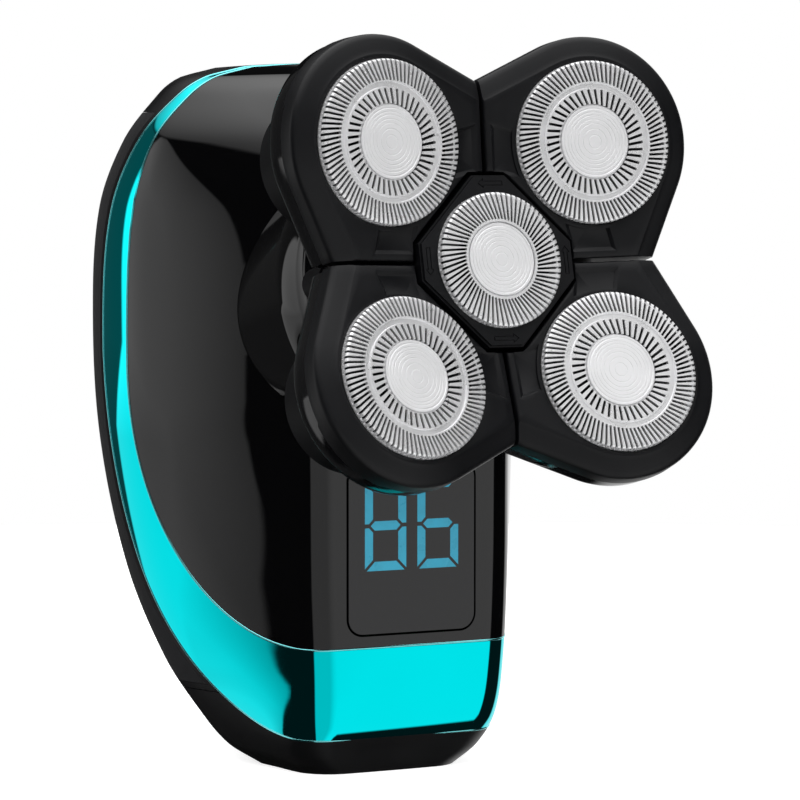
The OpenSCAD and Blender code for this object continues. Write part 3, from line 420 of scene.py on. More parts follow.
@dataclass
class GripForm:
    """The grip's form: its outline at each height and the edges that part its shells, in millimetres."""

    height: float = 107.4
    width: float = 69.0
    depth: float = 56.5
    front: float = -18.5
    corner: float = 6.0
    exponent: float = 2.9
    rear_start: float = 8.0
    flank_turn: float = 6.0
    flank_skip: float = 0.3
    front_crown: float = 0.12
    crown_rise: float = 0.7
    trim_top: float = 19.9
    trim_foot: float = 6.0
    trim_front_set: float = 29.7
    trim_rear_set: float = 36.6
    band_rise: float = 42.0
    band_crown: float = 98.0
    counts: tuple[int, int, int, int, int] = (12, 14, 24, 12, 40)
    stations: tuple[tuple[float, ...], ...] = (
        (0.000, 0.205, 6.5, 11.0, 0.372, 0.490),
        (0.028, 0.270, 4.5, 14.0, 0.398, 0.545),
        (0.074, 0.324, 1.5, 15.5, 0.425, 0.605),
        (0.150, 0.386, 0.2, 16.2, 0.460, 0.722),
        (0.280, 0.447, 0.0, 16.8, 0.496, 0.868),
        (0.465, 0.490, 0.0, 17.0, 0.522, 0.973),
        (0.650, 0.500, 0.0, 17.5, 0.531, 1.000),
        (0.800, 0.485, 1.5, 17.0, 0.540, 0.973),
        (0.894, 0.435, 5.0, 15.5, 0.540, 0.912),
        (0.950, 0.372, 9.5, 13.0, 0.549, 0.850),
        (0.985, 0.309, 14.0, 10.0, 0.558, 0.805),
        (1.000, 0.221, 19.0, 7.5, 0.566, 0.752),
    )

    def along(self, share: float, column: int) -> float:
        """Returns the smooth value of a station column at a share of the height."""
        rows = self.stations
        i = 0
        while i < len(rows) - 2 and share > rows[i + 1][0]:
            i += 1
        step = rows[i + 1][0] - rows[i][0]
        t = (share - rows[i][0]) / step

        def slope(k: int) -> float:
            """Returns the slope through station k."""
            a, b = max(k - 1, 0), min(k + 1, len(rows) - 1)
            return (rows[b][column] - rows[a][column]) / (rows[b][0] - rows[a][0])

        return (
            (2 * t**3 - 3 * t**2 + 1) * rows[i][column]
            + (t**3 - 2 * t**2 + t) * step * slope(i)
            + (3 * t**2 - 2 * t**3) * rows[i + 1][column]
            + (t**3 - t**2) * step * slope(i + 1)
        )

    def half(self, share: float, inset: float = 0.0) -> list[Point]:
        """Returns the right half of the outline, from the middle of the front to the middle of the back.

        Args:
            share: The share of the height.
            inset: How far the outline is drawn in.

        Returns:
            The points, in the same number at every height.
        """
        w = self.along(share, 1) * self.width - inset
        front = self.along(share, 2) + inset
        flat = self.along(share, 3) - 0.6 * inset
        mid = self.along(share, 4) * self.depth
        rear = self.along(share, 5) * self.depth - inset
        r = min(self.corner, 0.6 * flat)
        e = 2 / self.exponent
        centre = Vector((flat - 0.6 * r, front + r))
        turn = Vector((w, mid))
        start = turn + 0.32 * (Vector((flat + 0.229 * r, front + 0.441 * r)) - turn)
        away = start - centre
        touch = math.atan2(away.y, away.x) - math.acos(min(1.0, r / away.length)) - math.radians(self.flank_turn)

        def rear_point(a: float) -> Vector:
            """Returns the rear arc's point at the angle a."""
            across = w * math.cos(a) ** e if math.cos(a) > 1e-9 else 0.0
            return Vector((across, mid + (rear - mid) * math.sin(a) ** e))

        n_flat, n_corner, n_side, n_turn, n_rear = self.counts
        first = math.radians(self.rear_start)
        back = rear_point(first)
        arc = [centre + r * Vector((math.cos(a), math.sin(a))) for a in
               (-math.pi / 2 + (touch + math.pi / 2) * i / n_corner for i in range(n_corner + 1))]
        points = [Vector((centre.x * i / n_flat, front + self.front_crown * (i / n_flat) ** 2))
                  for i in range(n_flat)]
        points += [Vector((p.x, p.y + self.front_crown * (1 - i / n_corner))) for i, p in enumerate(arc)]
        skip = self.flank_skip
        join = (1 - skip) ** 2 * start + 2 * skip * (1 - skip) * turn + skip**2 * back
        reach = (join - arc[-1]).length / 3
        first_pull = arc[-1] + reach * Vector((-math.sin(touch), math.cos(touch)))
        last_pull = join - reach * ((1 - skip) * (turn - start) + skip * (back - turn)).normalized()
        for i in range(1, n_side + 1):
            t = i / n_side
            points.append((1 - t) ** 3 * arc[-1] + 3 * t * (1 - t) ** 2 * first_pull
                          + 3 * t * t * (1 - t) * last_pull + t**3 * join)
        for i in range(1, n_turn + 1):
            t = skip + (1 - skip) * i / n_turn
            points.append((1 - t) ** 2 * start + 2 * t * (1 - t) * turn + t**2 * back)
        for i in range(1, n_rear + 1):
            points.append(rear_point(first + (math.pi / 2 - first) * (i / n_rear) ** 1.15))
        return [(p.x, p.y + self.front) for p in points]

    def ring(self, share: float, inset: float = 0.0, z: float | None = None, scale: float = 1.0) -> Ring:
        """Returns the closed outline at a share of the height as a ring of points.

        Args:
            share: The share of the height.
            inset: How far the outline is drawn in.
            z: The ring's height, if it isn't the share's own.
            scale: How far the ring is drawn together round its middle.

        Returns:
            The ring.
        """
        right = self.half(share, inset)
        middle = (right[0][1] + right[-1][1]) / 2
        height = inset + share * (self.height - 2 * inset) if z is None else z
        loop = right + [(-x, y) for x, y in reversed(right[1:-1])]
        return [Vector((x * scale, middle + (y - middle) * scale, height)) for x, y in loop]

    def shares(self, count: int) -> list[float]:
        """Returns the heights of the loft's rings, closer together towards both ends."""
        return [0.45 * i / count + 0.55 * (0.5 - 0.5 * math.cos(math.pi * i / count)) for i in range(count + 1)]

    def solid(self, name: str, inset: float = 0.0, count: int = 110) -> Piece:
        """Models the whole grip as one closed form.

        Args:
            name: The piece's name.
            inset: How far the form is drawn in.
            count: The number of steps up the grip.

        Returns:
            The closed form.
        """
        top = self.height - inset
        rings = [self.ring(0, inset, scale=s) for s in (0.0, 0.4, 0.8)]
        rings += [self.ring(f, inset) for f in self.shares(count)]
        rings += [self.ring(1, inset, top + self.crown_rise * (1 - s * s), s)
                  for s in (0.93, 0.82, 0.66, 0.46, 0.24, 0.08, 0.0)]
        return lofted(name, rings)

    @staticmethod
    def curve(points: Sequence[Point], steps: int) -> list[Point]:
        """Returns points along a cubic curve with four control points."""
        a, b, c, d = (Vector(p) for p in points)
        rows = []
        for i in range(steps + 1):
            t = i / steps
            p = (1 - t) ** 3 * a + 3 * t * (1 - t) ** 2 * b + 3 * t * t * (1 - t) * c + t**3 * d
            rows.append((p.x, p.y))
        return rows

    def front_edge(self, shift: float = 0.0) -> list[Point]:
        """Returns the side view of the edge between the front shell and the band, from the front up to the crown."""
        s, top = self.trim_front_set, self.trim_top
        low = self.curve([(0, top), (0.6 * s, top), (s, top + 0.43 * self.band_rise), (s, top + self.band_rise)], 60)
        crown = self.band_crown
        high = self.curve([(s, crown - 6), (s, crown), (s - 1, crown + 5), (s - 2.5, self.height + 2)], 24)
        return [(y + self.front + shift, z) for y, z in low + high]

    def rear_edge(self, shift: float = 0.0) -> list[Point]:
        """Returns the side view of the edge between the band and the rear shell, from the front up to the crown."""
        s, foot = self.trim_rear_set, self.trim_foot
        low = self.curve([(0, foot), (0.72 * s, foot - 2.5), (s - 1.6, foot + 28), (s, foot + 58)], 60)
        crown = self.band_crown
        high = self.curve([(s, foot + 60), (s, crown - 13), (s - 2, crown - 1), (s - 8.2, self.height + 2)], 24)
        return [(y + self.front + shift, z) for y, z in low + high]

    def side_prism(self, name: str, edge: Sequence[Point], ahead: bool) -> Piece:
        """Models everything on one side of a side-view edge as a prism across the grip.

        Args:
            name: The prism's name.
            edge: The edge's points, as depth and height.
            ahead: Whether the prism lies ahead of the edge, or behind it.

        Returns:
            The prism.
        """
        near, far = self.front - 30, self.front + self.depth + 30
        high, low, half_span = self.height + 4, -5, 80
        points = [(near, edge[0][1]), *edge[:-1], (edge[-1][0], high)]
        points += [(near, high)] if ahead else [(far, high), (far, low), (near, low)]
        return prism(name, [Vector((-half_span, y, z)) for y, z in points], Vector((2 * half_span, 0, 0)))


@dataclass
class Grip:
    """The grip's shells, the trim band, the pad and the foot cap."""

    form: GripForm
    head: "HeadPlace"
    wall: float = 2.0
    line: float = 0.12
    rim_r: float = 0.2
    rim_sink: float = 0.1
    pad_frame: float = 1.0
    pad_t: float = 1.0
    foot_split: float = 12.0
    panel: tuple[float, float, float, float] = (21.6, 22.0, 25.5, 2.4)
    panel_gap: float = 0.35
    neck_root_r: float = 24.05
    inlet: tuple[float, float, float] = (2.85, 1.65, -6.9)

    def build(self) -> None:
        """Models and dresses every piece of the grip's outside."""
        outer = self.form.solid("grip_outer")
        inner = self.form.solid("grip_inner", self.wall, 50)
        self.front_shell(outer, inner)
        self.rear_shell(outer, inner)
        self.foot_cap(outer, inner)
        self.pad(outer)
        self.band(outer, inner)
        for form in (outer, inner):
            bpy.data.objects.remove(form)

    def front_shell(self, outer: Piece, inner: Piece) -> None:
        """Models the glossy front shell with its openings for the head and the panel."""
        shell = copy_of(outer, "grip_front_shell")
        cut(shell, self.form.side_prism("ahead", self.form.front_edge(-self.line), True), "INTERSECT")
        cut(shell, inner, keep=True)
        r = self.neck_root_r
        cut(shell, spun("neck_hole", [(0, -44), (r, -44), (r, -2), (0, -2)], self.head.matrix, 160))
        cut(shell, self.panel_hole())
        settle(shell, Finishes.PIANO, "handle", "gloss_black", "front_shell")

    def panel_hole(self) -> Piece:
        """Returns the round-cornered block that opens the shell for the press panel."""
        width, low, height, radius = self.panel
        points = []
        for i in range(4):
            sx, sz = (1, -1, -1, 1)[i], (1, 1, -1, -1)[i]
            for k in range(13):
                a = math.radians(90 * i + 7.5 * k)
                grown = radius + self.panel_gap
                points.append(Vector((
                    sx * (width / 2 - radius) + grown * math.cos(a), self.form.front - 3,
                    low + height / 2 + sz * (height / 2 - radius) + grown * math.sin(a))))
        return prism("panel_hole", points, Vector((0, 8, 0)))

    def rear_shell(self, outer: Piece, inner: Piece) -> None:
        """Models the rear shell, with the pocket that the pad lies in."""
        shell = copy_of(outer, "grip_rear_shell")
        cut(shell, self.form.side_prism("behind", self.form.rear_edge(), False), "INTERSECT")
        cut(shell, self.slab("above", self.foot_split, 130), "INTERSECT")
        cut(shell, inner, keep=True)
        pocket = self.pad_room("pocket", 0.06)
        core = self.form.solid("pad_floor", self.pad_t + 0.04, 70)
        cut(pocket, core)
        cut(shell, pocket)
        settle(shell, Finishes.SATIN, "handle", "satin_black", "rear_shell")

    def slab(self, name: str, low: float, high: float) -> Piece:
        """Returns everything between two heights as a wide slab."""
        corners = [Vector((x, y, low)) for x, y in ((-90, -90), (90, -90), (90, 90), (-90, 90))]
        return prism(name, corners, Vector((0, 0, high - low)))

    def pad_room(self, name: str, grow: float) -> Piece:
        """Returns the part of the grip's rear that the pad covers, grown by a clearance."""
        room = self.form.side_prism(name, self.form.rear_edge(self.pad_frame - grow), False)
        low = self.foot_split + self.pad_frame - grow
        cut(room, self.slab("pad_span", low, low + self.form.height - self.foot_split - 8 + 2 * grow), "INTERSECT")
        return room

    def pad(self, outer: Piece) -> None:
        """Models the soft pad that wraps the grip's rear."""
        pad = copy_of(outer, "grip_pad_skin")
        cut(pad, self.pad_room("pad_span_room", 0.0), "INTERSECT")
        cut(pad, self.form.solid("pad_under", self.pad_t, 70))
        settle(pad, Finishes.PAD, "handle", "soft_grip", "grip_pad")

    def foot_cap(self, outer: Piece, inner: Piece) -> None:
        """Models the foot cap with its charging inlet."""
        cap = copy_of(outer, "grip_foot_cap")
        cut(cap, self.form.side_prism("behind_low", self.form.rear_edge(), False), "INTERSECT")
        cut(cap, self.slab("below", -1, self.foot_split - self.line), "INTERSECT")
        cut(cap, inner, keep=True)
        reach, r, depth = self.inlet
        inlet = []
        for k in range(32):
            a = TAU * k / 32
            inlet.append(Vector((math.copysign(reach, math.cos(a)) + r * math.cos(a), depth + r * math.sin(a), -1)))
        cut(cap, prism("inlet", inlet, Vector((0, 0, 5))))
        settle(cap, Finishes.SATIN, "handle", "satin_black", "base_cap")

    def surface_row(self, edge: Sequence[Point], count: int) -> Ring:
        """Follows a side-view edge over the grip's right side, from the middle of the front to the crown.

        Args:
            edge: The edge's points, as depth and height.
            count: The number of points wanted.

        Returns:
            Evenly spaced points on the grip's surface.
        """
        form = self.form
        row: Ring = []
        start_z = edge[0][1]
        right = form.half(min(1.0, start_z / form.height))
        reach = next(i for i, p in enumerate(right) if p[1] > edge[0][0] + 1e-6 or i > 20)
        row += [Vector((x, y, start_z)) for x, y in right[:reach]]
        for i in range(len(edge) - 1):
            (y0, z0), (y1, z1) = edge[i], edge[i + 1]
            for k in range(6):
                y, z = y0 + (y1 - y0) * k / 6, z0 + (z1 - z0) * k / 6
                if z > form.height:
                    break
                right = form.half(z / form.height)
                x = self.width_at(right, y)
                if x is not None:
                    row.append(Vector((x, y, z)))
        last = row[-1]
        for k in range(1, 13):
            share = 1 - k / 12
            row.append(Vector((last.x * share, last.y, form.height + form.crown_rise * (1 - share * share) * 0.8)))
        return respaced(row, count)

    @staticmethod
    def width_at(right: Sequence[Point], y: float) -> float | None:
        """Returns the outline's half width at a depth, or nothing ahead of its front."""
        for (x0, y0), (x1, y1) in zip(right, right[1:]):
            if y0 <= y <= y1 and y1 - y0 > 1e-9:
                return x0 + (x1 - x0) * (y - y0) / (y1 - y0)
        return None

    def band(self, outer: Piece, inner: Piece) -> None:
        """Models the plated band between its two edges, with a rounded rim along each."""
        band = copy_of(outer, "trim_band_plate")
        cut(band, self.form.side_prism("band_ahead", self.form.rear_edge(-self.line), True), "INTERSECT")
        cut(band, self.form.side_prism("band_behind", self.form.front_edge(0.0), True))
        cut(band, inner, keep=True)
        settle(band, Finishes.PLATE, "handle", "trim_cyan", "trim_band")
        # Each rim is rounded and catches real light, and its paler cyan adds a painted highlight along the band's
        # edge.
        for name, edge in (
            ("trim_rim_front", self.form.front_edge(0.16)),
            ("trim_rim_rear", self.form.rear_edge(-0.3)),
        ):
            settle(self.rim(name, edge), Finishes.RIM, "handle", "trim_cyan", angle=80)

    def rim(self, name: str, edge: Sequence[Point]) -> Piece:
        """Models the rounded rim of the band along one of its edges.

        Args:
            name: The piece's name.
            edge: The edge's points, as depth and height.

        Returns:
            The rim, a closed loop round the grip.
        """
        path = respaced(self.surface_row(edge, 400), 260)
        side = Vector((0, -1, 0))
        rings = []
        for i, point in enumerate(path):
            way = (path[min(i + 1, len(path) - 1)] - path[max(i - 1, 0)]).normalized()
            side = (side - side.dot(way) * way).normalized()
            across = way.cross(side)
            centre = point - self.rim_sink * side
            rings.append([centre + self.rim_r * (math.cos(a) * side + math.sin(a) * across)
                          for a in (TAU * k / 10 for k in range(10))])
        mirrored = [[Vector((-p.x, p.y, p.z)) for p in ring] for ring in rings[1:-1]]
        return lofted(name, rings + mirrored[::-1], wrap_rows=True)


def respaced(row: Ring, count: int) -> Ring:
    """Spaces a row of points evenly.

    Args:
        row: The points.
        count: The number of points wanted.

    Returns:
        The new row, with the same ends.
    """
    reach = [0.0]
    for a, b in zip(row, row[1:]):
        reach.append(reach[-1] + (b - a).length)
    out, k = [], 0
    for i in range(count):
        goal = reach[-1] * i / (count - 1)
        while k < len(reach) - 2 and reach[k + 1] < goal:
            k += 1
        span = reach[k + 1] - reach[k]
        out.append(row[k].lerp(row[k + 1], (goal - reach[k]) / span if span > 1e-12 else 0.0))
    return out


# ------------------------------------------------------------------ head


@dataclass
class HeadPlace:
    """The head's axis and the places of its pods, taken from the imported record, in millimetres."""

    record: dict
    rise: float = 1.6
    matrix: Matrix = field(init=False)

    def __post_init__(self) -> None:
        """Reads the axis and the middle of the caps from the joints."""
        joints = {j["name"]: j for j in self.record["behaviour"]["joints"]}
        axis = Vector(joints["sun_spin"]["axis"]).normalized()
        middle = sum((Vector(joints[f"cutter_spin_{pod.key}"]["pos_m"]) for pod in Pod), Vector()) / (4 * MM)
        across = Vector((1, 0, 0))
        up = axis.cross(across)
        turn = Matrix((across, up, axis)).transposed().to_4x4()
        self.matrix = Matrix.Translation(middle - axis * self.rise) @ turn


@dataclass
class PodForm:
    """The outline shared by a pod's frame and cup, in millimetres in the pod's own place."""

    head: HeadPlace
    ring: float = 24.0
    rise: float = 1.6
    lean: float = math.radians(10.1)
    lobe: float = 15.8
    notch: float = 26.6
    octagon: Point = (13.0, 2.9)

    @property
    def side(self) -> float:
        """The angle at which the lobe turns into the straight side."""
        x, y = self.notch / math.sqrt(2) - self.ring, self.notch / math.sqrt(2)
        return math.atan2(y, x) - math.acos(self.lobe / math.hypot(x, y))

    def place(self, pod: Pod) -> Matrix:
        """Returns a pod's place in the shaver."""
        turn = Matrix.Rotation(math.radians(pod.value), 4, "Z")
        shift = Matrix.Translation((self.ring, 0, self.rise))
        return self.head.matrix @ turn @ shift @ Matrix.Rotation(-self.lean, 4, "Y")

    def outline(self, z: float, r: float, seam: float, inner: float) -> list[Point]:
        """Returns the pod's outline at a depth.

        Args:
            z: The height over the cap's top.
            r: The lobe's radius.
            seam: The width of the seam between two pods.
            inner: The gap left round the centre frame.

        Returns:
            The points, in the same number at every depth.
        """
        cl, sl = math.cos(self.lean), math.sin(self.lean)
        side = self.side
        k = self.ring - z * sl - seam / math.sqrt(2)
        x_end = (r - k * math.sin(side)) / (math.cos(side) + cl * math.sin(side))
        end = Vector((x_end, x_end * cl + k))
        touch = r * Vector((math.cos(side), math.sin(side)))
        a, b = self.octagon[0] + inner, self.octagon[1] + inner * math.tan(math.radians(22.5))

        def local(across: float, up: float) -> Vector:
            """Returns a point of the head's plane, turned to the pod, in the pod's plane."""
            return Vector(((across - self.ring + z * sl) / cl, up))

        corner = local((a + b) / math.sqrt(2), (a - b) / math.sqrt(2))
        start = local((a + seam / 2) / math.sqrt(2), (a - seam / 2) / math.sqrt(2))
        half: list[Vector] = [Vector((corner.x, corner.y * i / 6)) for i in range(7)]
        half += [corner.lerp(start, i / 3) for i in range(1, 4)]
        half += [start.lerp(end, i / 12) for i in range(1, 13)]
        half += [end.lerp(touch, i / 10) for i in range(1, 11)]
        half += [r * Vector((math.cos(t), math.sin(t))) for t in (side * (1 - i / 30) for i in range(1, 31))]
        points = [(p.x, p.y) for p in half]
        return points + [(x, -y) for x, y in reversed(points[1:-1])]


def smooth_step(value: float, low: float, high: float) -> float:
    """Returns a soft step from 0 at low to 1 at high."""
    t = min(1.0, max(0.0, (value - low) / (high - low)))
    return t * t * (3 - 2 * t)


@dataclass
class PodSkin:
    """A pod's matt frame and glossy cup."""

    form: PodForm
    seam: float = 0.6
    cap_r: float = 12.0
    flat: float = 12.7
    proud: float = 1.2
    frame_depth: float = 5.2
    cup_depth: float = 10.0
    cup_room: Point = (5.0, 11.5)
    hook: tuple[float, float, float] = (0.42, 0.42, 0.02)

    def hook_drop(self, x: float, y: float) -> float:
        """Returns how far the frame's lower edge drops at a place, between its two snap hooks."""
        drop, half_angle, soft = self.hook
        angle = abs(math.atan2(y, x))
        return drop * (1 - smooth_step(angle, half_angle - soft, half_angle + soft))

    def frame(self) -> Piece:
        """Models a pod's frame in its own place.

        Returns:
            The frame.
        """
        r, wide = self.form.lobe, self.seam
        levels = [(-self.frame_depth, r - 0.12, wide), (-self.frame_depth + 0.12, r, wide), (-4.2, r, wide),
                  (-3.0, r, wide), (-2.75, r - 0.04, wide), (-2.5, r - 0.16, wide), (-2.3, r - 0.35, wide),
                  (-2.12, r - 0.62, wide), (-2.0, r - 0.9, wide), (-1.7, r - 1.75, wide), (-1.5, r - 2.35, wide),
                  (-1.38, r - 2.72, wide + 0.08), (-1.26, r - 2.98, wide + 0.3),
                  (-self.proud, self.flat, wide + 0.55)]
        rings = []
        for i, (z, radius, gap) in enumerate(levels):
            plan = self.form.outline(z, radius, gap, gap / 2)
            drop = 1.0 if i < 2 else 0.0
            rings.append([Vector((x, y, z - drop * self.hook_drop(x, y))) for x, y in plan])
        plan = self.form.outline(-self.proud, self.flat, wide + 0.55, wide / 2 + 0.275)
        bore = self.cap_r + 0.07
        lip = bore + 0.12
        for radius, share, z in ((lip, 0.3, -self.proud), (lip, 0.65, -self.proud), (lip, 1.0, -self.proud),
                                 (bore, 1.0, -self.proud - 0.12), (bore, 1.0, -self.frame_depth)):
            rings.append([self.toward(p, radius, share, z) for p in plan])
        return lofted("pod_frame_form", rings, wrap_rows=True)

    @staticmethod
    def toward(point: Point, radius: float, share: float, z: float) -> Vector:
        """Returns a point part of the way from the outline to the cap's bore."""
        flat = Vector(point)
        goal = flat.normalized() * radius
        mixed = flat.lerp(goal, share)
        return Vector((mixed.x, mixed.y, z))

    def recess(self, sign: int) -> Piece:
        """Models the cutter of the shallow bevelled recess beside one seam.

        Args:
            sign: Which of the pod's two seams, 1 or -1.

        Returns:
            The cutter.
        """
        plan = self.form.outline(-self.proud, self.flat, self.seam, self.seam / 2)
        start, end = Vector(plan[9]), Vector(plan[21])
        way = (end - start).normalized()
        inward = Vector((way.y, -way.x))
        if inward.dot(-start) < 0:
            inward = -inward
        rings = []
        for z, grow in ((0.5, 1.7), (-self.proud + 0.02, 0.62), (-self.proud - 0.42, 0.0)):
            low, high = 1.55 - grow, 8.0
            corners = [start + way * (0.5 - grow) + inward * low, end - way * (3.8 - grow) + inward * low,
                       end - way * (5.6 - grow) + inward * high, start - way * (0.9 + grow) + inward * high]
            rings.append([Vector((p.x, p.y, z)) for p in corners])
        middles = [[sum(ring, Vector()) / 4] * 4 for ring in (rings[0], rings[-1])]
        piece = lofted("recess", [middles[0], *rings, middles[1]])
        ring = self.cap_r + 0.75
        cut(piece, spun("recess_ring", [(0, -4), (ring, -4), (ring, 2), (0, 2)], Matrix.Identity(4), 96))
        if sign < 0:
            piece.data.transform(Matrix.Scale(-1, 4, (0, 1, 0)))
            edit(piece, weld)
        return piece

    def cup(self) -> Piece:
        """Models a pod's cup in its own place.

        Returns:
            The cup.
        """
        r, gap = self.form.lobe - 0.3, 1.2
        top = -self.frame_depth - 0.1
        levels = [(top, r - 0.1), (top - 0.1, r), (-6.4, r), (-7.4, r - 0.03), (-8.2, r - 0.12), (-8.8, r - 0.32),
                  (-9.25, r - 0.62), (-9.6, r - 1.0), (-9.85, r - 1.45), (-self.cup_depth, r - 2.0)]
        rings = []
        for i, (z, radius) in enumerate(levels):
            plan = self.form.outline(z, radius, gap + 0.5 * (r - radius), 0.6)
            drop = 1.0 if i < 2 else 0.0
            rings.append([Vector((x, y, z - drop * self.hook_drop(x, y))) for x, y in plan])
        last = rings[-1]
        floor, (hole, room) = -self.cup_depth, self.cup_room
        for radius, share, z in ((hole + 0.4, 0.45, floor - 0.06), (hole + 0.4, 1.0, floor - 0.06),
                                 (hole, 1.0, floor + 0.2),
                                 (hole, 1.0, floor + 1.0), (room, 1.0, floor + 1.0), (room, 1.0, top)):
            rings.append([self.toward((p.x, p.y), radius, share, z) for p in last])
        return lofted("pod_cup_form", rings, wrap_rows=True)

    def build(self) -> None:
        """Models the frame and the cup once, and places a copy of each at every pod."""
        frame, cup = self.frame(), self.cup()
        for sign in (1, -1):
            cut(frame, self.recess(sign))
        modify(frame, "BEVEL", width=0.12 * MM, segments=2, limit_method="ANGLE", angle_limit=math.radians(38))
        for pod in Pod:
            for source, kind, finish, slot in (
                (frame, "frame", Finishes.POD, "pod_matt"),
                (cup, "cup", Finishes.CUP, "gloss_black"),
            ):
                piece = copy_of(source, f"skin_{kind}_{pod.key}")
                piece.data.transform(in_metres(self.form.place(pod)))
                settle(piece, finish, f"pod_{pod.key}", slot, f"pod_{kind}_{pod.key}")
        for form in (frame, cup):
            bpy.data.objects.remove(form)


@dataclass
class Discs:
    """The bright discs in the caps, with turned rings."""

    form: PodForm
    radius: float = 5.5
    sheet: float = 0.35
    rings: tuple[float, ...] = (1.0, 1.9, 2.7, 3.3, 3.9, 4.35)

    def profile(self) -> list[Point]:
        """Returns the disc's profile, with a fine groove for each turned ring."""
        top = -0.06
        r = self.radius
        points = [(0.0, -self.sheet - 0.2), (r + 0.04, -self.sheet - 0.2), (r + 0.04, -self.sheet - 0.05),
                  (r - 0.16, -self.sheet - 0.05), (r - 0.16, top - 0.06),
                  (r - 0.22, top + 0.02), (r - 0.46, top + 0.02),
                  (r - 0.54, top - 0.05), (r - 0.66, top - 0.05), (r - 0.74, top)]
        for r in reversed(self.rings):
            points += [(r + 0.09, top), (r + 0.05, top - 0.035), (r - 0.05, top - 0.035), (r - 0.09, top)]
        return points + [(0.0, top)]

    def build(self) -> None:
        """Models one disc and places a copy in each cap."""
        source = spun("disc_form", self.profile(), Matrix.Identity(4), 96)
        spots = [(f"disc_{p.key}", self.form.place(p), f"pod_{p.key}", f"pod_disc_{p.key}") for p in Pod]
        for name, place, body, node in [*spots, ("disc_centre", self.form.head.matrix, "head", "centre_disc")]:
            piece = copy_of(source, name)
            piece.data.transform(in_metres(place))
            settle(piece, Finishes.DISC, body, "disc_silver", node)
        bpy.data.objects.remove(source)


@dataclass
class Caps:
    """The slotted steel caps of the four pods."""

    form: PodForm
    radius: float = 12.0
    bore: float = 5.56
    channel: Point = (7.9, 8.7)
    channel_depth: float = 0.3
    sheet: float = 0.35
    skirt: float = 3.1
    sweep: float = math.radians(12)
    inner_slots: tuple[int, float, float, float] = (45, 5.4, 7.72, 0.4)
    outer_slots: tuple[int, float, float, float] = (90, 8.88, 12.4, 0.36)
    slot_depth: float = 1.1

    def profile(self) -> list[Point]:
        """Returns the cap's profile, a thin sheet with a pressed channel and a skirt."""
        r, t, drop, (near, far) = self.radius, self.sheet, self.channel_depth, self.channel
        return [(self.bore, -t), (self.bore, 0), (near, 0), (near + 0.1, -drop), (far - 0.1, -drop), (far, 0),
                (r - 0.42, 0), (r - 0.25, -0.04), (r - 0.1, -0.14), (r - 0.03, -0.28), (r, -0.45), (r, -self.skirt),
                (r - t, -self.skirt), (r - t, -0.5), (far + 0.25, -0.5), (far + 0.25, -drop - t),
                (near - 0.25, -drop - t), (near - 0.25, -t)]

    def slots(self, count: int, start: float, end: float, width: float) -> Piece:
        """Models one ring of slots as a tool.

        Args:
            count: How many slots the ring has.
            start: The radius at which they start.
            end: The radius at which they end.
            width: A slot's width.

        Returns:
            The tool.
        """
        deselect()
        bpy.ops.mesh.primitive_cube_add(size=MM)
        tool = bpy.context.active_object
        size = Matrix.Diagonal(((end - start) / math.cos(self.sweep), width, 1 + self.slot_depth, 1))
        place = Matrix.Translation(((start + end) / 2 * MM, 0, (0.5 - self.slot_depth / 2) * MM))
        tool.data.transform(place @ Matrix.Rotation(self.sweep, 4, "Z") @ size)
        others = [copy_of(tool, f"slot_{i}") for i in range(1, count)]
        for i, other in enumerate(others, 1):
            other.data.transform(Matrix.Rotation(math.tau * i / count, 4, "Z"))
        pick(tool)
        for other in others:
            other.select_set(True)
        bpy.ops.object.join()
        return tool

    def build(self) -> None:
        """Models one cap and places a copy on each pod."""
        source = spun("cap_form", self.profile(), Matrix.Identity(4), 180)
        for ring in (self.inner_slots, self.outer_slots):
            cut(source, self.slots(*ring))
        for pod in Pod:
            piece = copy_of(source, f"cap_{pod.key}")
            piece.data.transform(in_metres(self.form.place(pod)))
            settle(piece, Finishes.CAP, f"pod_{pod.key}", "cap_steel", f"pod_cap_{pod.key}")
        bpy.data.objects.remove(source)


@dataclass
class Neck:
    """The glossy dome between the grip and the head."""

    head: HeadPlace
    top: float = 18.9
    radius: float = 22.3
    root_r: float = 24.0
    root: float = 42.0
    root_from: float = 25.3
    spigot_r: float = 13.9
    wall: float = 2.0

    def build(self) -> None:
        """Models the dome as one turned profile."""
        r, t = self.radius, -self.top
        lip_r, flare_from = 1.2, 1.6
        lip = [(r - lip_r + lip_r * math.sin(a), t - lip_r + lip_r * math.cos(a))
               for a in (math.pi / 2 * i / 8 for i in range(9))]
        fall = self.root_from - self.top - flare_from
        flare = [(r + (self.root_r - r) * smooth_step(i / 12, -0.4, 1.0), t - flare_from - fall * i / 12)
                 for i in range(1, 13)]
        outside = [(self.spigot_r + 3, t), *lip, *flare, (self.root_r, -self.root)]
        inside = [(self.root_r - self.wall, -self.root), (self.root_r - self.wall, -self.root_from),
                  (r - self.wall, t - self.wall), (self.spigot_r + 3, t - self.wall)]
        dome = spun("neck_dome", outside + inside, self.head.matrix, 160)
        settle(dome, Finishes.PIANO, "handle", "gloss_black", "neck_collar")


# ------------------------------------------------------------------ pieces kept from the model


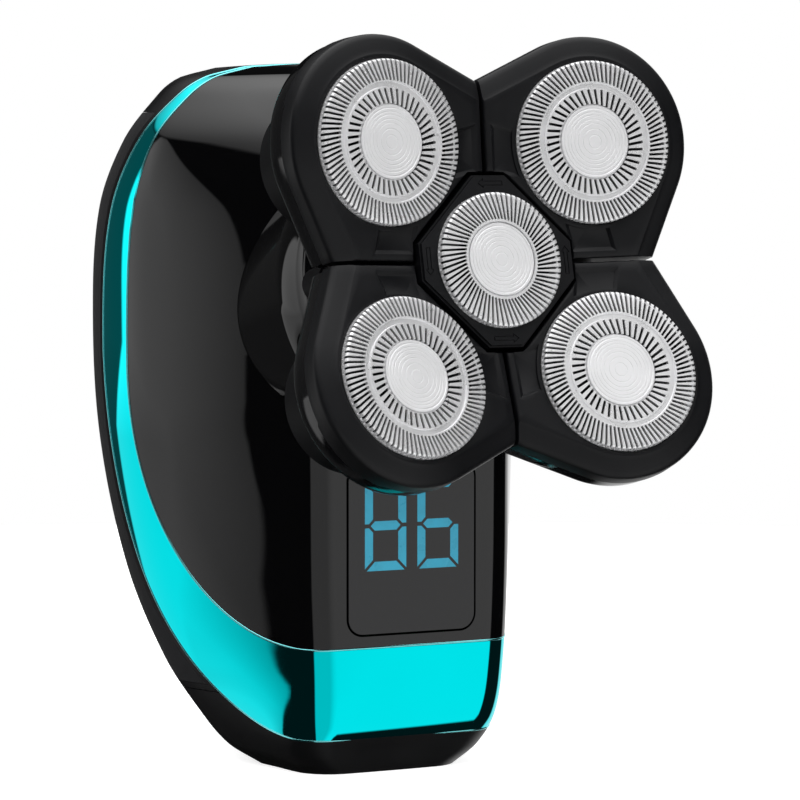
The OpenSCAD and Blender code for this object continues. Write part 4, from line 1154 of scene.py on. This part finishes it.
@dataclass
class Kept:
    """The model's own pieces that stay, each with its finish."""

    nodes: dict[str, Piece]
    finishes: tuple[tuple[Finish, str], ...] = (
        (Finishes.SATIN, "neck_ring gear_case gear_cover"),
        (Finishes.STEEL, "case_screws charging_socket motor_mount motor motor_shaft head_screws pod_pins"),
        (Finishes.PANEL, "power_panel"),
        (Finishes.DIGIT, "display_digits"),
        (Finishes.GUIDE, "display_module"),
        (Finishes.MOULDED, "power_switch cell_holder centre_retainer"),
        (Finishes.BOARD, "circuit_board"),
        (Finishes.SLEEVE, "cell"),
        (Finishes.ACETAL, "drive_coupler sun_gear pod_gear"),
        (Finishes.POD, "centre_frame"),
        (Finishes.CAP, "centre_cap"),
        # the cutters get the near-black steel, painted shade that darkens the slots of the caps
        (Finishes.CUTTER, "centre_cutter pod_cutter"),
    )

    def dress(self) -> None:
        """Gives each kept node its finish, by its own name or by its name without the pod's ending."""
        chosen = {name: finish for finish, names in self.finishes for name in names.split()}
        for name, node in self.nodes.items():
            finish = chosen.get(name) or chosen.get(name.rsplit("_", 1)[0])
            if finish is None:
                LOG.info("%s: replaced", name)
                continue
            material = finish.material()
            if not node.material_slots:
                node.data.materials.append(material)
            for slot in node.material_slots:
                slot.material = material
            LOG.info("%s: %s", name, finish.name)


# ------------------------------------------------------------------ studio


@dataclass
class Studio:
    """The floor, the light, the surroundings that gloss reflects, and the camera."""

    head: HeadPlace
    lens: float = 186.6
    aim: tuple[float, float, float] = (-14.8, -20.4, 599.5)
    azimuth: float = math.radians(-28.8)
    elevation: float = math.radians(3.6)
    floor_r: float = 0.4
    floor_lift: float = 0.72
    lamp_goal: tuple[float, float, float] = (0.0, -0.02, 0.06)
    even_light: float = 0.35
    gloss_base: float = 0.01

    def build(self) -> None:
        """Sets up everything round the shaver."""
        self.camera()
        self.floor()
        self.lamps()
        self.surroundings()
        bpy.context.scene.view_settings.view_transform = "Standard"

    def camera(self) -> None:
        """Places the camera."""
        a, e = self.azimuth, self.elevation
        right = Vector((math.cos(a), math.sin(a), 0))
        back = Vector((math.sin(a) * math.cos(e), -math.cos(a) * math.cos(e), math.sin(e)))
        up = back.cross(right)
        spot = self.head.matrix.translation + right * self.aim[0] + up * self.aim[1] + back * self.aim[2]
        data = bpy.data.cameras.new("view")
        data.lens = self.lens
        data.clip_start, data.clip_end = 0.01, 10
        eye = bpy.data.objects.new("view", data)
        eye.matrix_world = Matrix.Translation(spot * MM) @ Matrix((right, up, back)).transposed().to_4x4()
        bpy.context.scene.collection.objects.link(eye)
        bpy.context.scene.camera = eye

    def floor(self) -> None:
        """Lays a pale floor that keeps a faint shadow. Gloss looks through it at the world."""
        deselect()
        bpy.ops.mesh.primitive_circle_add(vertices=96, radius=self.floor_r, fill_type="NGON")
        floor = bpy.context.active_object
        floor.name = floor.data.name = "floor"
        nodes = Nodes("pale_floor")
        nodes.shader.inputs["Base Color"].default_value = (0.9, 0.9, 0.9, 1)
        nodes.shader.inputs["Roughness"].default_value = 0.9
        nodes.shader.inputs["Emission Color"].default_value = (1, 1, 1, 1)
        path = nodes.add("ShaderNodeLightPath").outputs
        lift = nodes.add("ShaderNodeMath", operation="MULTIPLY")
        nodes.feed(lift.inputs[0], path["Is Camera Ray"])
        lift.inputs[1].default_value = self.floor_lift
        nodes.feed(nodes.shader.inputs["Emission Strength"], lift.outputs[0])
        clear = nodes.add("ShaderNodeBsdfTransparent")
        mix = nodes.add("ShaderNodeMixShader")
        nodes.feed(mix.inputs[0], path["Is Glossy Ray"])
        nodes.feed(mix.inputs[1], nodes.shader.outputs[0])
        nodes.feed(mix.inputs[2], clear.outputs[0])
        nodes.feed(nodes.tree.nodes["Material Output"].inputs["Surface"], mix.outputs[0])
        floor.data.materials.append(nodes.material)
        floor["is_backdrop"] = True

    def lamps(self) -> None:
        """Hangs soft lamps that light without showing in the gloss."""
        for name, spot, size, power in (
            ("lamp_left", (-0.75, -0.45, 0.65), 0.7, 7.0), ("lamp_right", (0.55, -0.85, 0.5), 0.7, 5.0),
            ("lamp_top", (0.0, -0.1, 1.0), 0.8, 6.0),
        ):
            data = bpy.data.lights.new(name, "AREA")
            data.energy, data.size = power, size
            lamp = bpy.data.objects.new(name, data)
            aim = (Vector(spot) - Vector(self.lamp_goal)).to_track_quat("Z", "Y")
            lamp.matrix_world = Matrix.Translation(spot) @ aim.to_matrix().to_4x4()
            lamp.visible_glossy = False
            bpy.context.scene.collection.objects.link(lamp)

    def surroundings(self) -> None:
        """Makes the plain world: white behind, soft panels of light in the gloss, even light on the rest."""
        world = bpy.data.worlds.new("studio")
        bpy.context.scene.world = world
        world.use_nodes = True
        tree = world.node_tree

        def add(kind: str, operation: str = "", *values: object) -> bpy.types.Node:
            """Adds a node, with its operation and its inputs in order."""
            node = tree.nodes.new(kind)
            if operation:
                node.operation = operation
            for socket, value in zip(node.inputs, values):
                if isinstance(value, Socket):
                    tree.links.new(value, socket)
                else:
                    socket.default_value = value
            return node

        def math_of(operation: str, *values: object) -> Socket:
            """Returns the outcome of one Math node."""
            return add("ShaderNodeMath", operation, *values).outputs[0]

        def product(*values: Socket) -> Socket:
            """Returns the product of several values, from the left."""
            return values[0] if len(values) == 1 else math_of("MULTIPLY", product(*values[:-1]), values[-1])

        def window(value: Socket, low: float, high: float, soft: float) -> Socket:
            """Returns 1 between two values, falling softly to 0 outside them."""
            sides = []
            for start, end in ((low - soft, low + soft), (high + soft, high - soft)):
                node = tree.nodes.new("ShaderNodeMapRange")
                node.interpolation_type = "SMOOTHSTEP"
                tree.links.new(value, node.inputs["Value"])
                node.inputs["From Min"].default_value = start
                node.inputs["From Max"].default_value = end
                sides.append(node.outputs["Result"])
            return math_of("MULTIPLY", *sides)

        def ramp(value: Socket, start: float, end: float, low: float, high: float) -> Socket:
            """Returns a straight ramp from low at start to high at end, level outside them."""
            node = tree.nodes.new("ShaderNodeMapRange")
            tree.links.new(value, node.inputs["Value"])
            for name, number in (("From Min", start), ("From Max", end), ("To Min", low), ("To Max", high)):
                node.inputs[name].default_value = number
            return node.outputs["Result"]

        way = add("ShaderNodeSeparateXYZ", "", tree.nodes.new("ShaderNodeTexCoord").outputs["Generated"]).outputs
        turn = math_of("DEGREES", math_of("ARCTAN2", way[0], math_of("MULTIPLY", way[1], -1.0)))
        rise = math_of("DEGREES", math_of("ARCSINE", way[2]))
        # the left panel's near edge leans away below the horizon and curls away above it
        fall = ramp(rise, -7.0, -47.0, 0.0, 64.0)
        lift = math_of("MULTIPLY", math_of("POWER", ramp(rise, 0.0, 90.0, 0.0, 90.0), 2.0), 0.0242)
        slanted = math_of("ADD", turn, math_of("ADD", fall, lift))
        beyond = math_of("ADD", turn, ramp(rise, -3.0, -8.0, 0.0, 13.0))
        far = math_of("MAXIMUM", window(beyond, -127.0, 400.0, 1.5), 0.05)
        near = product(ramp(slanted, -104.0, -90.0, 1.0, 0.42), ramp(turn, -119.0, -104.0, 1.45, 1.0))
        capped = math_of("MINIMUM", near, ramp(rise, -3.0, -9.0, 1.45, 0.95))
        left = product(window(slanted, -300.0, -90.0, 0.5), far, window(rise, -100.0, 36.0, 1.0), capped)
        front = product(window(turn, -38.0, 47.0, 2.5), ramp(turn, 8.0, 28.0, 0.65, 1.0),
                        ramp(rise, -2.0, 4.0, 1.0, 0.3), window(rise, -80.0, 40.0, 3.0))
        right = product(window(turn, 106.0, 150.0, 4.0), window(rise, -50.0, 34.0, 3.0))
        top = product(ramp(rise, 37.0, 58.0, 0.5, 1.9), window(rise, 37.0, 200.0, 1.0))
        panels = math_of("MAXIMUM", math_of("MAXIMUM", front, left), math_of("MAXIMUM", top, right))
        gloss = math_of("ADD", panels, self.gloss_base)
        path = tree.nodes.new("ShaderNodeLightPath").outputs
        shine = tree.nodes.new("ShaderNodeBackground")
        tree.links.new(gloss, shine.inputs["Strength"])
        even = tree.nodes.new("ShaderNodeBackground")
        even.inputs["Strength"].default_value = self.even_light
        white = tree.nodes.new("ShaderNodeBackground")
        white.inputs["Color"].default_value = (1, 1, 1, 1)
        white.inputs["Strength"].default_value = 1.0
        for background in (shine, even):
            background.inputs["Color"].default_value = (1, 1, 1, 1)
        first = add("ShaderNodeMixShader", "", path["Is Glossy Ray"], even.outputs[0], shine.outputs[0])
        seen = math_of("MAXIMUM", path["Is Camera Ray"], path["Is Transmission Ray"])
        second = add("ShaderNodeMixShader", "", seen, first.outputs[0], white.outputs[0])
        tree.links.new(second.outputs[0], tree.nodes["World Output"].inputs["Surface"])


def corners() -> list[list[float]]:
    """Returns the whole object's box as plain numbers."""
    return [[float(v) for v in corner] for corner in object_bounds()]


def main() -> None:
    """Builds the shaver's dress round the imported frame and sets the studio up."""
    logging.basicConfig(level=logging.INFO, format="%(name)s %(message)s")
    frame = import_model()
    head = HeadPlace(frame["record"])
    studio = Studio(head)
    Kept(frame["nodes"]).dress()
    Grip(GripForm(), head).build()
    Neck(head).build()
    form = PodForm(head)
    PodSkin(form).build()
    Discs(form).build()
    Caps(form).build()
    studio.build()


if __name__ == "__main__":
    main()
